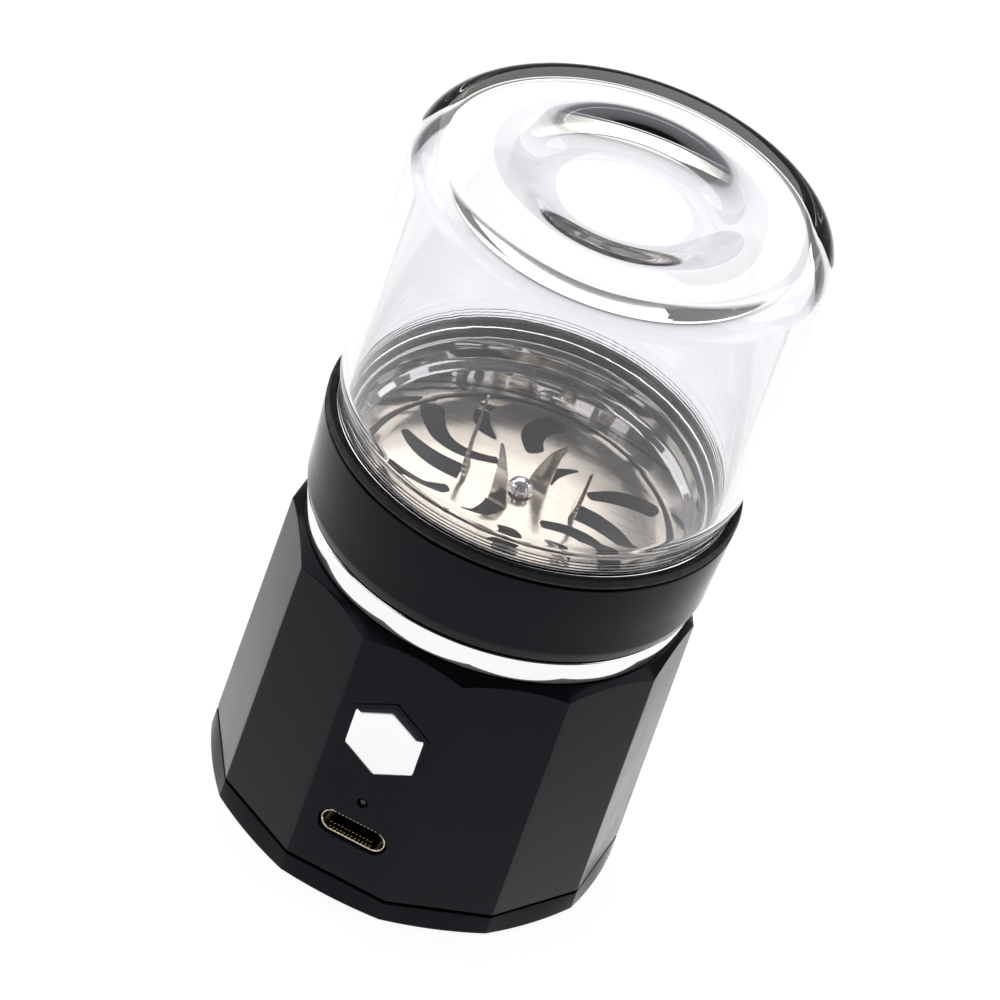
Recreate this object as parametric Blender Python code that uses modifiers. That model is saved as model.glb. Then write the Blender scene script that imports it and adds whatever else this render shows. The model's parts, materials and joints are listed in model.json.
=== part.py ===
"""Rechargeable hand-size spice grinder with a clear glass jar, as an assembly of separate sub-parts.

The grinder stands on its twelve-sided base with the jar on top, mouth down. +Z is up, the origin is
the middle of the underside, and the facet with the button and the charging port faces -Y.
Lengths are written in millimetres and become metres through MM.
"""

import math

import bmesh
import bpy
from mathutils import Matrix, Vector

MM = 0.001

# Driving dimensions, in millimetres.
SIDES = 12
FACET_CORNER_RADIUS = 26.0  # at SHOULDER_Z
FACET_FLARE = 0.018  # growth of the corner radius for each millimetre further down
SHOULDER_Z = 38.1  # where the facet corners meet the conical shoulder
SHOULDER_SLOPE = 0.9  # drop of the conical shoulder for each millimetre outwards
DECK_Z = 39.5
COVER_TOP_Z = 2.9
COVER_ROUNDNESS = 0.6  # of the cover's lower outline, from twelve-sided at 0 to round at 1
SEAM = 0.4
WALL = 2.0
COLLAR_RADIUS = 26.3
COLLAR_Z = (43.9, 56.2)
RIM_Z = (56.5, 57.7)
NECK_RADIUS = 25.1  # of the jar, between its wall and its seat
JAR_RADIUS = 25.95
JAR_TOP_Z = 97.0
DISC_RADIUS = 19.0
DISC_Z = (50.1, 50.7)
MOTOR_RADIUS = 12.0
MOTOR_Z = (18.0, 44.0)
SHAFT_RADIUS = 1.5
BUTTON_Z = 25.4
BUTTON_RADIUS = 5.5
LED_Z = 15.4
PORT_Z = 10.65
BOARD_Y = (-14.2, -13.0)

# Screw circles: radius and the angles of the three screws.
COVER_SCREWS = (21.8, (30, 150, 270))
PLATE_SCREWS = (17.6, (30, 150, 270))
COLLAR_SCREWS = (21.9, (75, 195, 315))
MOTOR_SCREWS = (8.0, (0, 180))
BOARD_SCREWS = ((-6.0, 33.0), (6.0, 5.9))

ROUND_STEPS = 48
HIDDEN_STEPS = 32
SMALL_STEPS = 12
HOLE_STEPS = 12

# Openings of the blade disc, one of each opposite pair. Each one is a curved slot: the inner end,
# the point that its middle line bends towards, the outer end, the width at the inner end, in the
# middle and at the outer end, and the height of the fin that is bent up at one end, if there is one.
SLOTS = {
    "long_sweep": ((-4.9, 3.8), (-12.0, -0.2), (-15.6, 8.2), 1.5, 2.4, 3.2, None, 0),
    "tall_fin": ((-7.3, -1.6), (-12.2, -2.2), (-16.2, 1.2), 3.4, 2.9, 1.2, "inner", 9.0),
    "broad_sweep": ((-7.4, -6.0), (-11.1, -9.7), (-14.6, -9.3), 1.6, 3.0, 3.0, None, 0),
    "centre_fin": ((-1.35, -4.3), (-1.6, -7.3), (-4.1, -9.6), 2.8, 1.8, 0.5, "inner", 6.7),
    "round_sweep": ((-1.9, 9.4), (-4.6, 12.8), (-1.6, 16.4), 2.6, 3.2, 3.2, None, 0),
    "short_fin": ((-6.8, 8.0), (-9.75, 8.8), (-10.3, 12.1), 0.5, 2.1, 1.8, "outer", 3.0),
}


# ---------------------------------------------------------------- helpers


def clear_scene():
    """Removes what the startup file holds."""
    for obj in list(bpy.data.objects):
        bpy.data.objects.remove(obj, do_unlink=True)


def new_collection(name, hidden=False):
    collection = bpy.data.collections.new(name)
    collection.hide_render = hidden
    bpy.context.scene.collection.children.link(collection)
    return collection


def material(name, colour, roughness, metallic=0.0, transmission=0.0):
    """A Principled material of one colour."""
    made = bpy.data.materials.new(name)
    made.use_nodes = True
    shader = made.node_tree.nodes["Principled BSDF"]
    shader.inputs["Base Color"].default_value = (*colour, 1.0)
    shader.inputs["Roughness"].default_value = roughness
    shader.inputs["Metallic"].default_value = metallic
    shader.inputs["Transmission Weight"].default_value = transmission
    made.diffuse_color = (*colour, 1.0)
    return made


def add_object(name, mesh, finish, smooth=True):
    """Puts a mesh in the grinder's collection as one sub-part."""
    obj = bpy.data.objects.new(name, mesh)
    PARTS.objects.link(obj)
    if finish is not None:
        mesh.materials.append(finish)
    if smooth:
        mesh.shade_smooth()
        mesh.set_sharp_from_angle(angle=math.radians(35))
    return obj


def as_cutter(obj):
    """Makes a helper of an object: it shapes others and is not a sub-part."""
    for collection in list(obj.users_collection):
        collection.objects.unlink(obj)
    CUTTERS.objects.link(obj)
    obj.hide_render = True
    obj.display_type = "WIRE"
    return obj


def boolean(target, tool, operation):
    modifier = target.modifiers.new(f"{operation.lower()}_{tool.name}", "BOOLEAN")
    modifier.object = tool
    modifier.operation = operation
    modifier.solver = "EXACT"
    return target


def turned(name, profile, finish, steps=ROUND_STEPS, closed=True):
    """A solid turned about +Z from (radius, height) points that run down its outer side."""
    mesh = bpy.data.meshes.new(name)
    shape = bmesh.new()
    points = [shape.verts.new((radius * MM, 0, height * MM)) for radius, height in profile]
    for first, second in zip(points, points[1:]):
        shape.edges.new((first, second))
    if closed:
        shape.edges.new((points[-1], points[0]))
    shape.to_mesh(mesh)
    shape.free()
    obj = add_object(name, mesh, finish, smooth=False)
    screw = obj.modifiers.new("turn", "SCREW")
    screw.steps = steps
    screw.render_steps = steps
    screw.use_merge_vertices = True
    screw.merge_threshold = 0.000001
    screw.use_normal_calculate = False
    return obj


def ring(name, inner, outer, low, high, finish, steps=ROUND_STEPS):
    """A plain ring of rectangular section."""
    return turned(name, [(outer, high), (outer, low), (inner, low), (inner, high)], finish, steps)


def rod_mesh(name, radius, length, steps=SMALL_STEPS, top_radius=None):
    """A mesh of a round bar along +Z from its own origin."""
    mesh = bpy.data.meshes.new(name)
    shape = bmesh.new()
    top = radius if top_radius is None else top_radius
    bmesh.ops.create_cone(
        shape,
        cap_ends=True,
        segments=steps,
        radius1=radius * MM,
        radius2=top * MM,
        depth=length * MM,
        matrix=Matrix.Translation((0, 0, length / 2 * MM)),
    )
    shape.to_mesh(mesh)
    shape.free()
    return mesh


def rod(name, radius, foot, length, finish=None, direction=(0, 0, 1), steps=SMALL_STEPS, turn=0.0):
    """A round bar, or with few steps a prism, from its foot along a direction."""
    obj = add_object(name, rod_mesh(name, radius, length, steps), finish, smooth=steps > 6)
    place(obj, foot, direction, turn)
    return obj


def place(obj, foot, direction=(0, 0, 1), turn=0.0):
    """Puts an object's origin at foot, its own Z along a direction, turned about that by an angle."""
    aim = Vector(direction).to_track_quat("Z", "Y").to_matrix().to_4x4()
    spin = Matrix.Rotation(math.radians(turn), 4, "Z")
    obj.matrix_world = Matrix.Translation(Vector(foot) * MM) @ aim @ spin
    return obj


def box(name, low, high, finish=None, bevel=0.0):
    """A block between two corners, its edges rounded by the bevel."""
    size = Vector(high) - Vector(low)
    mesh = bpy.data.meshes.new(name)
    shape = bmesh.new()
    bmesh.ops.create_cube(shape, size=1.0)
    bmesh.ops.scale(shape, vec=size * MM, verts=shape.verts)
    shape.to_mesh(mesh)
    shape.free()
    obj = add_object(name, mesh, finish, smooth=False)
    obj.location = (Vector(low) + size / 2) * MM
    if bevel:
        add_bevel(obj, bevel, 2)
    return obj


def add_bevel(obj, width, segments, angle=30):
    modifier = obj.modifiers.new("round_edges", "BEVEL")
    modifier.width = width * MM
    modifier.segments = segments
    modifier.limit_method = "ANGLE"
    modifier.angle_limit = math.radians(angle)
    return obj


def rounded_slot(name, half_width, half_height, low_y, high_y, height, finish=None, steps=10):
    """A block along Y whose two short sides are half circles, like a charging port."""
    mesh = bpy.data.meshes.new(name)
    shape = bmesh.new()
    outline = []
    for side in (1, -1):
        for step in range(steps + 1):
            angle = math.radians(-90 + 180 * step / steps)
            x = side * (half_width - half_height + half_height * math.cos(angle))
            z = side * half_height * math.sin(angle)
            outline.append(shape.verts.new((x * MM, low_y * MM, (height + z) * MM)))
    face = shape.faces.new(outline)
    pushed = bmesh.ops.extrude_face_region(shape, geom=[face])["geom"]
    moved = [item for item in pushed if isinstance(item, bmesh.types.BMVert)]
    bmesh.ops.translate(shape, vec=(0, (high_y - low_y) * MM, 0), verts=moved)
    bmesh.ops.recalc_face_normals(shape, faces=shape.faces)
    shape.to_mesh(mesh)
    shape.free()
    return add_object(name, mesh, finish, smooth=False)


def on_circle(radius, degrees):
    angle = math.radians(degrees)
    return radius * math.cos(angle), radius * math.sin(angle)


def arc(centre, radius, start, stop, count):
    """Points of a round corner in a profile, from one angle to another."""
    points = []
    for step in range(count + 1):
        angle = math.radians(start + (stop - start) * step / count)
        points.append((centre[0] + radius * math.cos(angle), centre[1] + radius * math.sin(angle)))
    return points


def corner_radius(height):
    """The base's corner radius at a height: it grows a little downwards."""
    return FACET_CORNER_RADIUS + (SHOULDER_Z - height) * FACET_FLARE


def facet_distance(height):
    """How far the middle of a facet is from the axis at a height."""
    return corner_radius(height) * math.cos(math.pi / SIDES)


def twelve_sided(name, low, high, inset=0.0):
    """A twelve-sided block with a facet towards -Y."""
    mesh = bpy.data.meshes.new(name)
    shape = bmesh.new()
    bmesh.ops.create_cone(
        shape,
        cap_ends=True,
        segments=SIDES,
        radius1=(corner_radius(low) - inset) * MM,
        radius2=(corner_radius(high) - inset) * MM,
        depth=(high - low) * MM,
        matrix=Matrix.Translation((0, 0, (low + high) / 2 * MM))
        @ Matrix.Rotation(math.pi / SIDES, 4, "Z"),
    )
    shape.to_mesh(mesh)
    shape.free()
    return mesh


# ---------------------------------------------------------------- glass jar and its seats


def dished(height, depth, level, edge, steps):
    """Profile points of a face that is level near the axis and curves up by a depth towards its edge."""
    points = [(0, height - depth)]
    for step in range(steps + 1):
        share = step / steps
        points.append((level + (edge - level) * share, height - depth * (1 + math.cos(math.pi * share)) / 2))
    return points


def make_jar():
    """Straight glass jar, upside down: dished closed end, thick round shoulder, neck with a thread bead."""
    corner = 3.9
    inner_corner = 2.6
    inner = 23.4
    inner_end = JAR_TOP_Z - 3.6
    outer_curve = arc((JAR_RADIUS - corner, JAR_TOP_Z - corner), corner, 90, 0, 5)
    inner_curve = arc((inner - inner_corner, inner_end - inner_corner), inner_corner, 0, 90, 3)
    profile = [
        *dished(JAR_TOP_Z, 2.7, 8.5, 18.5, 6),
        *outer_curve,
        (JAR_RADIUS, 61.2),
        (NECK_RADIUS, 60.3),
        (NECK_RADIUS, RIM_Z[1] - 0.5),
        (24.0, 57.1),
        (24.0, 55.6),
        (24.4, 55.2),
        (24.4, 54.6),
        (24.0, 54.2),
        (24.0, 52.4),
        (22.95, 52.4),
        (22.95, 58.6),
        (inner, 61.0),
        *inner_curve,
        *reversed(dished(inner_end, 0.5, 12.0, 20.0, 3)),
    ]
    return turned("glass_jar", profile, GLASS, closed=False)


def make_collar_stack():
    """The glossy collar, its soft rim, the jar's sealing ring and the bright ring under it."""
    low, high = COLLAR_Z
    collar = turned(
        "collar",
        [
            (COLLAR_RADIUS - 0.25, high),
            (COLLAR_RADIUS, high - 0.25),
            (25.85, 48.5),
            (25.7, 46.2),
            (25.2, low),
            (20.6, low),
            (20.6, 50.2),
            (22.4, 51.0),
            (24.75, 51.0),
            (24.75, high),
        ],
        GLOSS_BLACK,
    )
    for number, degrees in enumerate(COLLAR_SCREWS[1], 1):
        x, y = on_circle(COLLAR_SCREWS[0], degrees)
        hole = as_cutter(rod(f"collar_screw_hole_{number}", 1.0, (x, y, low - 1), 7.0, steps=HOLE_STEPS))
        boolean(collar, hole, "DIFFERENCE")
    turned(
        "rim_ring",
        [
            (26.05, RIM_Z[1]),
            (26.33, RIM_Z[0] + 0.1),
            (26.25, RIM_Z[0]),
            (24.8, RIM_Z[0]),
            (24.8, RIM_Z[0] + 0.3),
            (NECK_RADIUS + 0.2, RIM_Z[0] + 0.3),
            (NECK_RADIUS + 0.2, RIM_Z[1]),
        ],
        SOFT_BLACK,
    )
    ring("jar_seal", 22.75, 24.3, 51.3, 52.1, SOFT_CLEAR, steps=HIDDEN_STEPS)
    turned("chrome_ring", [(25.1, 43.6), (24.35, 39.8), (23.5, 39.8), (23.5, 43.6)], CHROME)


# ---------------------------------------------------------------- grinding cup and blade


def make_cup():
    """Deep-drawn cup that stands inside the jar's mouth, with a stepped wall and a hole for the bush."""
    profile = [
        (22.6, 56.8),
        (22.1, 55.4),
        (21.9, 53.8),
        (20.9, 53.0),
        (19.9, 49.8),
        (19.9, 47.4),
        (18.9, 46.4),
        (3.2, 46.4),
        (3.2, 46.9),
        (18.7, 46.9),
        (19.4, 47.6),
        (19.4, 50.0),
        (20.4, 53.3),
        (21.4, 54.1),
        (21.6, 55.6),
        (22.0, 56.8),
    ]
    turned("steel_cup", profile, STEEL, steps=HIDDEN_STEPS)


def slot_side(start, bend, end, widths, fraction, side):
    """A point on one long side of a curved slot, at a fraction of its length."""
    start, bend, end = Vector(start), Vector(bend), Vector(end)
    middle = start.lerp(bend, fraction).lerp(bend.lerp(end, fraction), fraction)
    along = (bend - start).lerp(end - bend, fraction).normalized()
    across = Vector((-along.y, along.x))
    near, halfway, far = widths
    slope = 4 * halfway - 3 * near - far
    curve = 2 * near + 2 * far - 4 * halfway
    width = near + slope * fraction + curve * fraction**2
    return middle + across * (side * width / 2)


def slot_outline(start, bend, end, widths, count=5):
    """The outline of a curved slot with softened ends."""
    left = [slot_side(start, bend, end, widths, step / count, 1) for step in range(count + 1)]
    right = [slot_side(start, bend, end, widths, step / count, -1) for step in range(count + 1)]
    inner_nose = Vector(start) - (Vector(bend) - Vector(start)).normalized() * (widths[0] * 0.25)
    outer_nose = Vector(end) + (Vector(end) - Vector(bend)).normalized() * (widths[2] * 0.25)
    return [inner_nose, *left, outer_nose, *reversed(right)]


def slab(name, outline, thickness):
    """A flat plate of an outline in its own XY plane, from Z 0 to its thickness."""
    mesh = bpy.data.meshes.new(name)
    shape = bmesh.new()
    face = shape.faces.new([shape.verts.new((x * MM, y * MM, 0)) for x, y in outline])
    pushed = bmesh.ops.extrude_face_region(shape, geom=[face])["geom"]
    moved = [item for item in pushed if isinstance(item, bmesh.types.BMVert)]
    bmesh.ops.translate(shape, vec=(0, 0, thickness * MM), verts=moved)
    bmesh.ops.recalc_face_normals(shape, faces=shape.faces)
    shape.to_mesh(mesh)
    shape.free()
    return as_cutter(add_object(name, mesh, None, smooth=False))


def fin_outline(start, bend, end, widths, height, count=4):
    """The tongue cut from a slot, laid out from its fold: across along X, up along Y."""
    fold = Vector(start)
    along = (Vector(bend) - fold).normalized()
    across = Vector((-along.y, along.x))
    length = (Vector(end) - fold).dot(along)
    outline = []
    for side, steps in ((1, range(count + 1)), (-1, reversed(range(count + 1)))):
        for step in steps:
            point = slot_side(start, bend, end, widths, step / count, side) - fold
            outline.append((point.dot(across), point.dot(along) * height / length))
    root = (DISC_Z[0] - DISC_Z[1]) / 2
    outline = [(x * 0.94, y) for x, y in outline]
    return [(outline[-1][0], root), (outline[0][0], root), *outline], fold, along, across


def add_fin(disc, name, slot, spin):
    """Stands the tongue of a slot up at its fold and joins it to the disc."""
    start, bend, end, near, halfway, far, fold_end, height = slot
    if fold_end == "outer":
        start, end, near, far = end, start, far, 1.0
    outline, fold, along, across = fin_outline(start, bend, end, (near, halfway * 0.9, far), height)
    plate = slab(name, outline, DISC_Z[1] - DISC_Z[0])
    foot = fold + along * 0.13
    frame = Matrix((
        (across.x, 0, -along.x, foot.x * MM),
        (across.y, 0, -along.y, foot.y * MM),
        (0, 1, 0, DISC_Z[1] * MM),
        (0, 0, 0, 1),
    ))
    plate.matrix_world = spin @ frame
    plate.data.update()
    boolean(disc, plate, "UNION")


def make_blade_disc():
    """Stamped disc: six pairs of curved openings, three of the pairs with their tongue bent up as a fin."""
    disc = ring("blade_disc", 1.1, DISC_RADIUS, *DISC_Z, WARM_STEEL)
    for turn in (0, 180):
        spin = Matrix.Rotation(math.radians(turn), 4, "Z")
        for name, slot in SLOTS.items():
            start, bend, end, near, halfway, far, fold_end, height = slot
            outline = slot_outline(start, bend, end, (near, halfway, far))
            if fold_end == "inner":
                outline = outline[1:]
            if fold_end == "outer":
                outline.pop(len(outline) // 2)
            cutter = slab(f"{name}_opening_{turn}", outline, 2.0)
            cutter.matrix_world = spin @ Matrix.Translation((0, 0, (DISC_Z[0] - 0.7) * MM))
            boolean(disc, cutter, "DIFFERENCE")
    for turn in (0, 180):
        spin = Matrix.Rotation(math.radians(turn), 4, "Z")
        for name, slot in SLOTS.items():
            if slot[-1]:
                add_fin(disc, f"{name}_plate_{turn}", slot, spin)


def make_blade_mount():
    """What turns with the disc under and over it, and what the shaft runs in."""
    turned(
        "hub_screw",
        [
            (0, 52.5),
            (0.9, 52.35),
            (1.5, 51.9),
            (1.65, 51.4),
            (1.65, 51.0),
            (0.7, 51.0),
            (0.7, 47.9),
            (0, 47.9),
        ],
        CHROME,
        steps=16,
        closed=False,
    )
    turned(
        "blade_hub",
        [(4.0, 49.8), (4.0, 49.2), (2.9, 48.7), (1.8, 48.7), (1.8, 49.8)],
        BRASS,
        steps=16,
    )
    ring("shaft_seal", 1.8, 3.3, 47.9, 48.4, SOFT_BLACK, steps=16)
    turned(
        "bearing_bush",
        [(4.3, 47.6), (4.3, 47.2), (2.9, 47.2), (2.9, 44.6), (1.8, 44.6), (1.8, 47.6)],
        BRASS,
        steps=16,
    )


# ---------------------------------------------------------------- motor


def make_motor():
    """Round direct-current motor under the cup, with its plate, magnets, rotor and end cap."""
    low, high = MOTOR_Z
    can = turned(
        "motor_can",
        [
            (MOTOR_RADIUS - 0.8, high),
            (MOTOR_RADIUS, high - 0.8),
            (MOTOR_RADIUS, low),
            (MOTOR_RADIUS - 0.8, low),
            (MOTOR_RADIUS - 0.8, high - 1.2),
            (2.0, high - 1.2),
            (2.0, high),
        ],
        STEEL,
        steps=24,
    )
    plate = ring("motor_plate", 3.3, 20.2, 44.4, 46.0, BRUSHED, steps=HIDDEN_STEPS)
    for number, degrees in enumerate(MOTOR_SCREWS[1], 1):
        x, y = on_circle(MOTOR_SCREWS[0], degrees)
        cut_screw_seat(plate, f"motor_screw_seat_{number}", (x, y, 46.0))
        hole = as_cutter(rod(f"can_screw_hole_{number}", 1.3, (x, y, high - 2), 3.0, steps=HOLE_STEPS))
        boolean(can, hole, "DIFFERENCE")
        flat_screw(f"motor_screw_{number}", (x, y, 46.0), 3.6)
    for number, degrees in enumerate(PLATE_SCREWS[1], 1):
        x, y = on_circle(PLATE_SCREWS[0], degrees)
        cut_screw_seat(plate, f"plate_screw_seat_{number}", (x, y, 46.0))
        flat_screw(f"plate_screw_{number}", (x, y, 46.0), 6.5)
    make_magnets(low)
    turned(
        "rotor_core",
        [(8.2, 38.0), (8.2, 24.0), (1.8, 24.0), (1.8, 38.0)],
        LAMINATE,
        steps=20,
    )
    turned("commutator", [(3.6, 22.5), (3.6, 19.5), (1.8, 19.5), (1.8, 22.5)], COPPER, steps=16)
    turned(
        "motor_shaft",
        [
            (0, 47.0),
            (1.05, 47.0),
            (1.05, 49.6),
            (SHAFT_RADIUS, 49.6),
            (SHAFT_RADIUS, 16.2),
            (0, 16.2),
        ],
        BRUSHED,
        steps=16,
        closed=False,
    )
    turned(
        "motor_end_cap",
        [
            (0, low - 2.2),
            (1.9, low - 2.2),
            (1.9, low - 0.2),
            (9.8, low - 0.2),
            (9.8, low + 1.4),
            (10.9, low + 1.4),
            (10.9, low - 0.3),
            (12.0, low - 0.3),
            (12.0, low - 1.3),
            (11.0, low - 2.3),
            (4.0, low - 2.3),
            (3.6, low - 2.9),
            (0, low - 2.9),
        ],
        WHITE_PLASTIC,
        steps=24,
        closed=False,
    )


def make_magnets(low):
    """Two curved magnets that line the can."""
    for number, side in ((1, 1), (2, -1)):
        magnet = ring(f"motor_magnet_{number}", 8.8, 10.9, 22.0, 40.0, FERRITE, steps=32)
        keep = as_cutter(box(f"magnet_span_{number}", (-7.0, 1.0, low), (7.0, 12.5, 42.0)))
        keep.location.y *= side
        boolean(magnet, keep, "INTERSECT")


def cut_screw_seat(plate, name, top):
    """A countersunk hole whose wide end is at the plate's upper face."""
    x, y, z = top
    profile = [(0, z + 1), (2.2, z + 1), (2.2, z - 0.1), (1.25, z - 1.1), (1.25, z - 3), (0, z - 3)]
    seat = as_cutter(turned(name, profile, None, steps=HOLE_STEPS, closed=False))
    seat.location = (x * MM, y * MM, 0)
    boolean(plate, seat, "DIFFERENCE")


def flat_screw(name, top, length):
    """A flat-head screw pointing down, with a cross recess, its head flush at top."""
    profile = [(0, 0), (1.75, 0), (1.75, -0.15), (0.9, -1.0), (0.9, -length), (0, -length)]
    screw = turned(name, profile, SCREW_STEEL, steps=SMALL_STEPS, closed=False)
    screw.location = Vector(top) * MM
    cut_cross(screw, name, (top[0], top[1], top[2]), 1.6)


def cut_cross(screw, name, top, span, direction=(0, 0, 1)):
    """The driver's recess in a screw head."""
    for number, turn in enumerate((0, 90), 1):
        bar = as_cutter(box(f"{name}_recess_{number}", (-span / 2, -0.2, -0.5), (span / 2, 0.2, 0.5)))
        place(bar, top, direction, turn)
        boolean(screw, bar, "DIFFERENCE")


def pan_screw(name, seat, direction, length):
    """A round-head screw: its head sits at seat and its shank runs along a direction."""
    profile = [(0, 1.2), (1.1, 1.1), (1.7, 0.5), (1.7, 0), (0.7, 0), (0.7, -length), (0, -length)]
    screw = turned(name, profile, SCREW_STEEL, steps=SMALL_STEPS, closed=False)
    back = -Vector(direction)
    place(screw, seat, back)
    cut_cross(screw, name, Vector(seat) + back * 1.15, 1.6, back)


# ---------------------------------------------------------------- base


def make_housing():
    """Twelve-sided shell with a conical shoulder, a spigot for the collar, and bosses for the screws."""
    housing = add_object("base_housing", twelve_sided("base_housing", COVER_TOP_Z + SEAM, 45.0), SATIN_BLACK)
    housing.data.shade_flat()
    top_edge = FACET_CORNER_RADIUS + (SHOULDER_Z - DECK_Z) / SHOULDER_SLOPE
    wide = 28.5
    wide_z = SHOULDER_Z - (wide - FACET_CORNER_RADIUS) * SHOULDER_SLOPE
    profile = [
        (23.1, 43.5),
        (23.1, DECK_Z),
        (top_edge, DECK_Z),
        (wide, wide_z),
        (wide, 0),
        (15.0, 0),
        (15.0, DECK_Z),
        (20.0, DECK_Z),
        (20.0, 43.5),
    ]
    boolean(housing, as_cutter(turned("shoulder_and_spigot", profile, None, steps=72)), "INTERSECT")
    inset = WALL / math.cos(math.pi / SIDES)
    hollow = add_object("housing_hollow", twelve_sided("housing_hollow", 1.0, 36.6, inset), None)
    boolean(housing, as_cutter(hollow), "DIFFERENCE")
    add_housing_posts(housing)
    cut_front_openings(housing)
    return housing


def add_housing_posts(housing):
    """Screw bosses for the cover, the motor plate and the circuit board, and the collar's screw holes."""
    posts = []
    for number, degrees in enumerate(COVER_SCREWS[1], 1):
        x, y = on_circle(COVER_SCREWS[0], degrees)
        posts.append((f"cover_post_{number}", (x, y, 3.5), 4.2, (0, 0, 1), degrees, 1.2, 4.6))
    for number, degrees in enumerate(PLATE_SCREWS[1], 1):
        x, y = on_circle(PLATE_SCREWS[0], degrees)
        posts.append((f"plate_post_{number}", (x, y, 44.1), 6.5, (0, 0, -1), degrees, 1.2, 6.5))
    for number, (x, z) in enumerate(BOARD_SCREWS, 1):
        depth = facet_distance(z) - 1.3 + BOARD_Y[0] - 0.3
        posts.append((f"board_post_{number}", (x, BOARD_Y[0] - 0.3, z), depth, (0, -1, 0), 0, 1.2, 5.5))
    for name, mouth, length, direction, turn, _, _ in posts:
        post = as_cutter(rod(name, 2.3, mouth, length, direction=direction, turn=turn + 4))
        boolean(housing, post, "UNION")
    for name, mouth, _, direction, _, radius, depth in posts:
        start = Vector(mouth) - Vector(direction)
        hole = as_cutter(rod(f"{name}_hole", radius, start, depth, direction=direction, turn=9))
        boolean(housing, hole, "DIFFERENCE")
    for number, degrees in enumerate(COLLAR_SCREWS[1], 1):
        x, y = on_circle(COLLAR_SCREWS[0], degrees)
        hole = as_cutter(rod(f"deck_screw_hole_{number}", 1.0, (x, y, 35), 10.0, steps=HOLE_STEPS))
        boolean(housing, hole, "DIFFERENCE")


def cut_front_openings(housing):
    """Openings in the -Y facet: the button, the light and the charging port with its shallow recess."""
    front = -facet_distance(BUTTON_Z)
    start = (0, front - 2, BUTTON_Z)
    button = as_cutter(rod("button_opening", BUTTON_RADIUS + 0.35, start, 8, None, (0, 1, 0), 6))
    turn_corner_up(button)
    boolean(housing, button, "DIFFERENCE")
    light = as_cutter(rod("light_opening", 0.6, (0, front - 2, LED_Z), 8, None, (0, 1, 0)))
    boolean(housing, light, "DIFFERENCE")
    port = as_cutter(rounded_slot("port_opening", 4.7, 1.86, front - 2, front + 6, PORT_Z))
    boolean(housing, port, "DIFFERENCE")


def turn_corner_up(hexagon):
    """Turns a six-sided bar about its own length until one corner points up."""
    corners = [hexagon.matrix_world @ vertex.co for vertex in hexagon.data.vertices]
    middle = sum(corners, Vector()) / len(corners)
    first = corners[0] - middle
    angle = math.atan2(first.x, first.z)
    sign = 1 if (hexagon.matrix_world.to_3x3() @ Vector((0, 0, 1))).y > 0 else -1
    hexagon.matrix_world = hexagon.matrix_world @ Matrix.Rotation(sign * angle, 4, "Z")


def make_bottom():
    """Bottom cover with its screws and the soft foot under it."""
    cover = add_object("bottom_cover", cover_mesh(0.1, COVER_TOP_Z), SATIN_BLACK)
    recess = as_cutter(rod("foot_recess", 19.3, (0, 0, -1), 1.95, steps=HIDDEN_STEPS))
    boolean(cover, recess, "DIFFERENCE")
    for number, degrees in enumerate(COVER_SCREWS[1], 1):
        x, y = on_circle(COVER_SCREWS[0], degrees)
        wide = as_cutter(rod(f"cover_head_hole_{number}", 2.1, (x, y, -1), 2.7, steps=HOLE_STEPS))
        boolean(cover, wide, "DIFFERENCE")
        narrow = as_cutter(rod(f"cover_screw_hole_{number}", 1.2, (x, y, -1), 6, steps=HOLE_STEPS))
        boolean(cover, narrow, "DIFFERENCE")
        pan_screw(f"cover_screw_{number}", (x, y, 1.65), (0, 0, 1), 5.0)
    ring("foot_pad", 4.0, 19.0, 0.0, 0.9, SOFT_BLACK, steps=HIDDEN_STEPS)
    return cover


def cover_mesh(low, high):
    """Twelve-sided where it meets the shell, and rounder towards its lower edge."""
    steps = 4  # points along each side
    rings = []
    shape = bmesh.new()
    levels = (high, 0.0, 0.0), (low + 0.3, COVER_ROUNDNESS, 0.0), (low, COVER_ROUNDNESS, 0.3)
    for height, roundness, inset in levels:
        ring_points = []
        for step in range(SIDES * steps):
            turn = math.tau * step / (SIDES * steps)
            share = math.cos(math.pi / SIDES) / math.cos(math.tau / SIDES * (step % steps / steps - 0.5))
            radius = (share + (1 - share) * roundness) * corner_radius(height) - inset
            angle = turn - math.pi / SIDES
            point = (radius * math.cos(angle) * MM, radius * math.sin(angle) * MM, height * MM)
            ring_points.append(shape.verts.new(point))
        rings.append(ring_points)
    for upper, lower in zip(rings, rings[1:]):
        for index in range(len(upper)):
            after = (index + 1) % len(upper)
            shape.faces.new((upper[index], lower[index], lower[after], upper[after]))
    shape.faces.new(rings[0])
    shape.faces.new(rings[-1])
    bmesh.ops.recalc_face_normals(shape, faces=shape.faces)
    mesh = bpy.data.meshes.new("bottom_cover")
    shape.to_mesh(mesh)
    shape.free()
    return mesh


# ---------------------------------------------------------------- button, port and electronics


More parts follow.
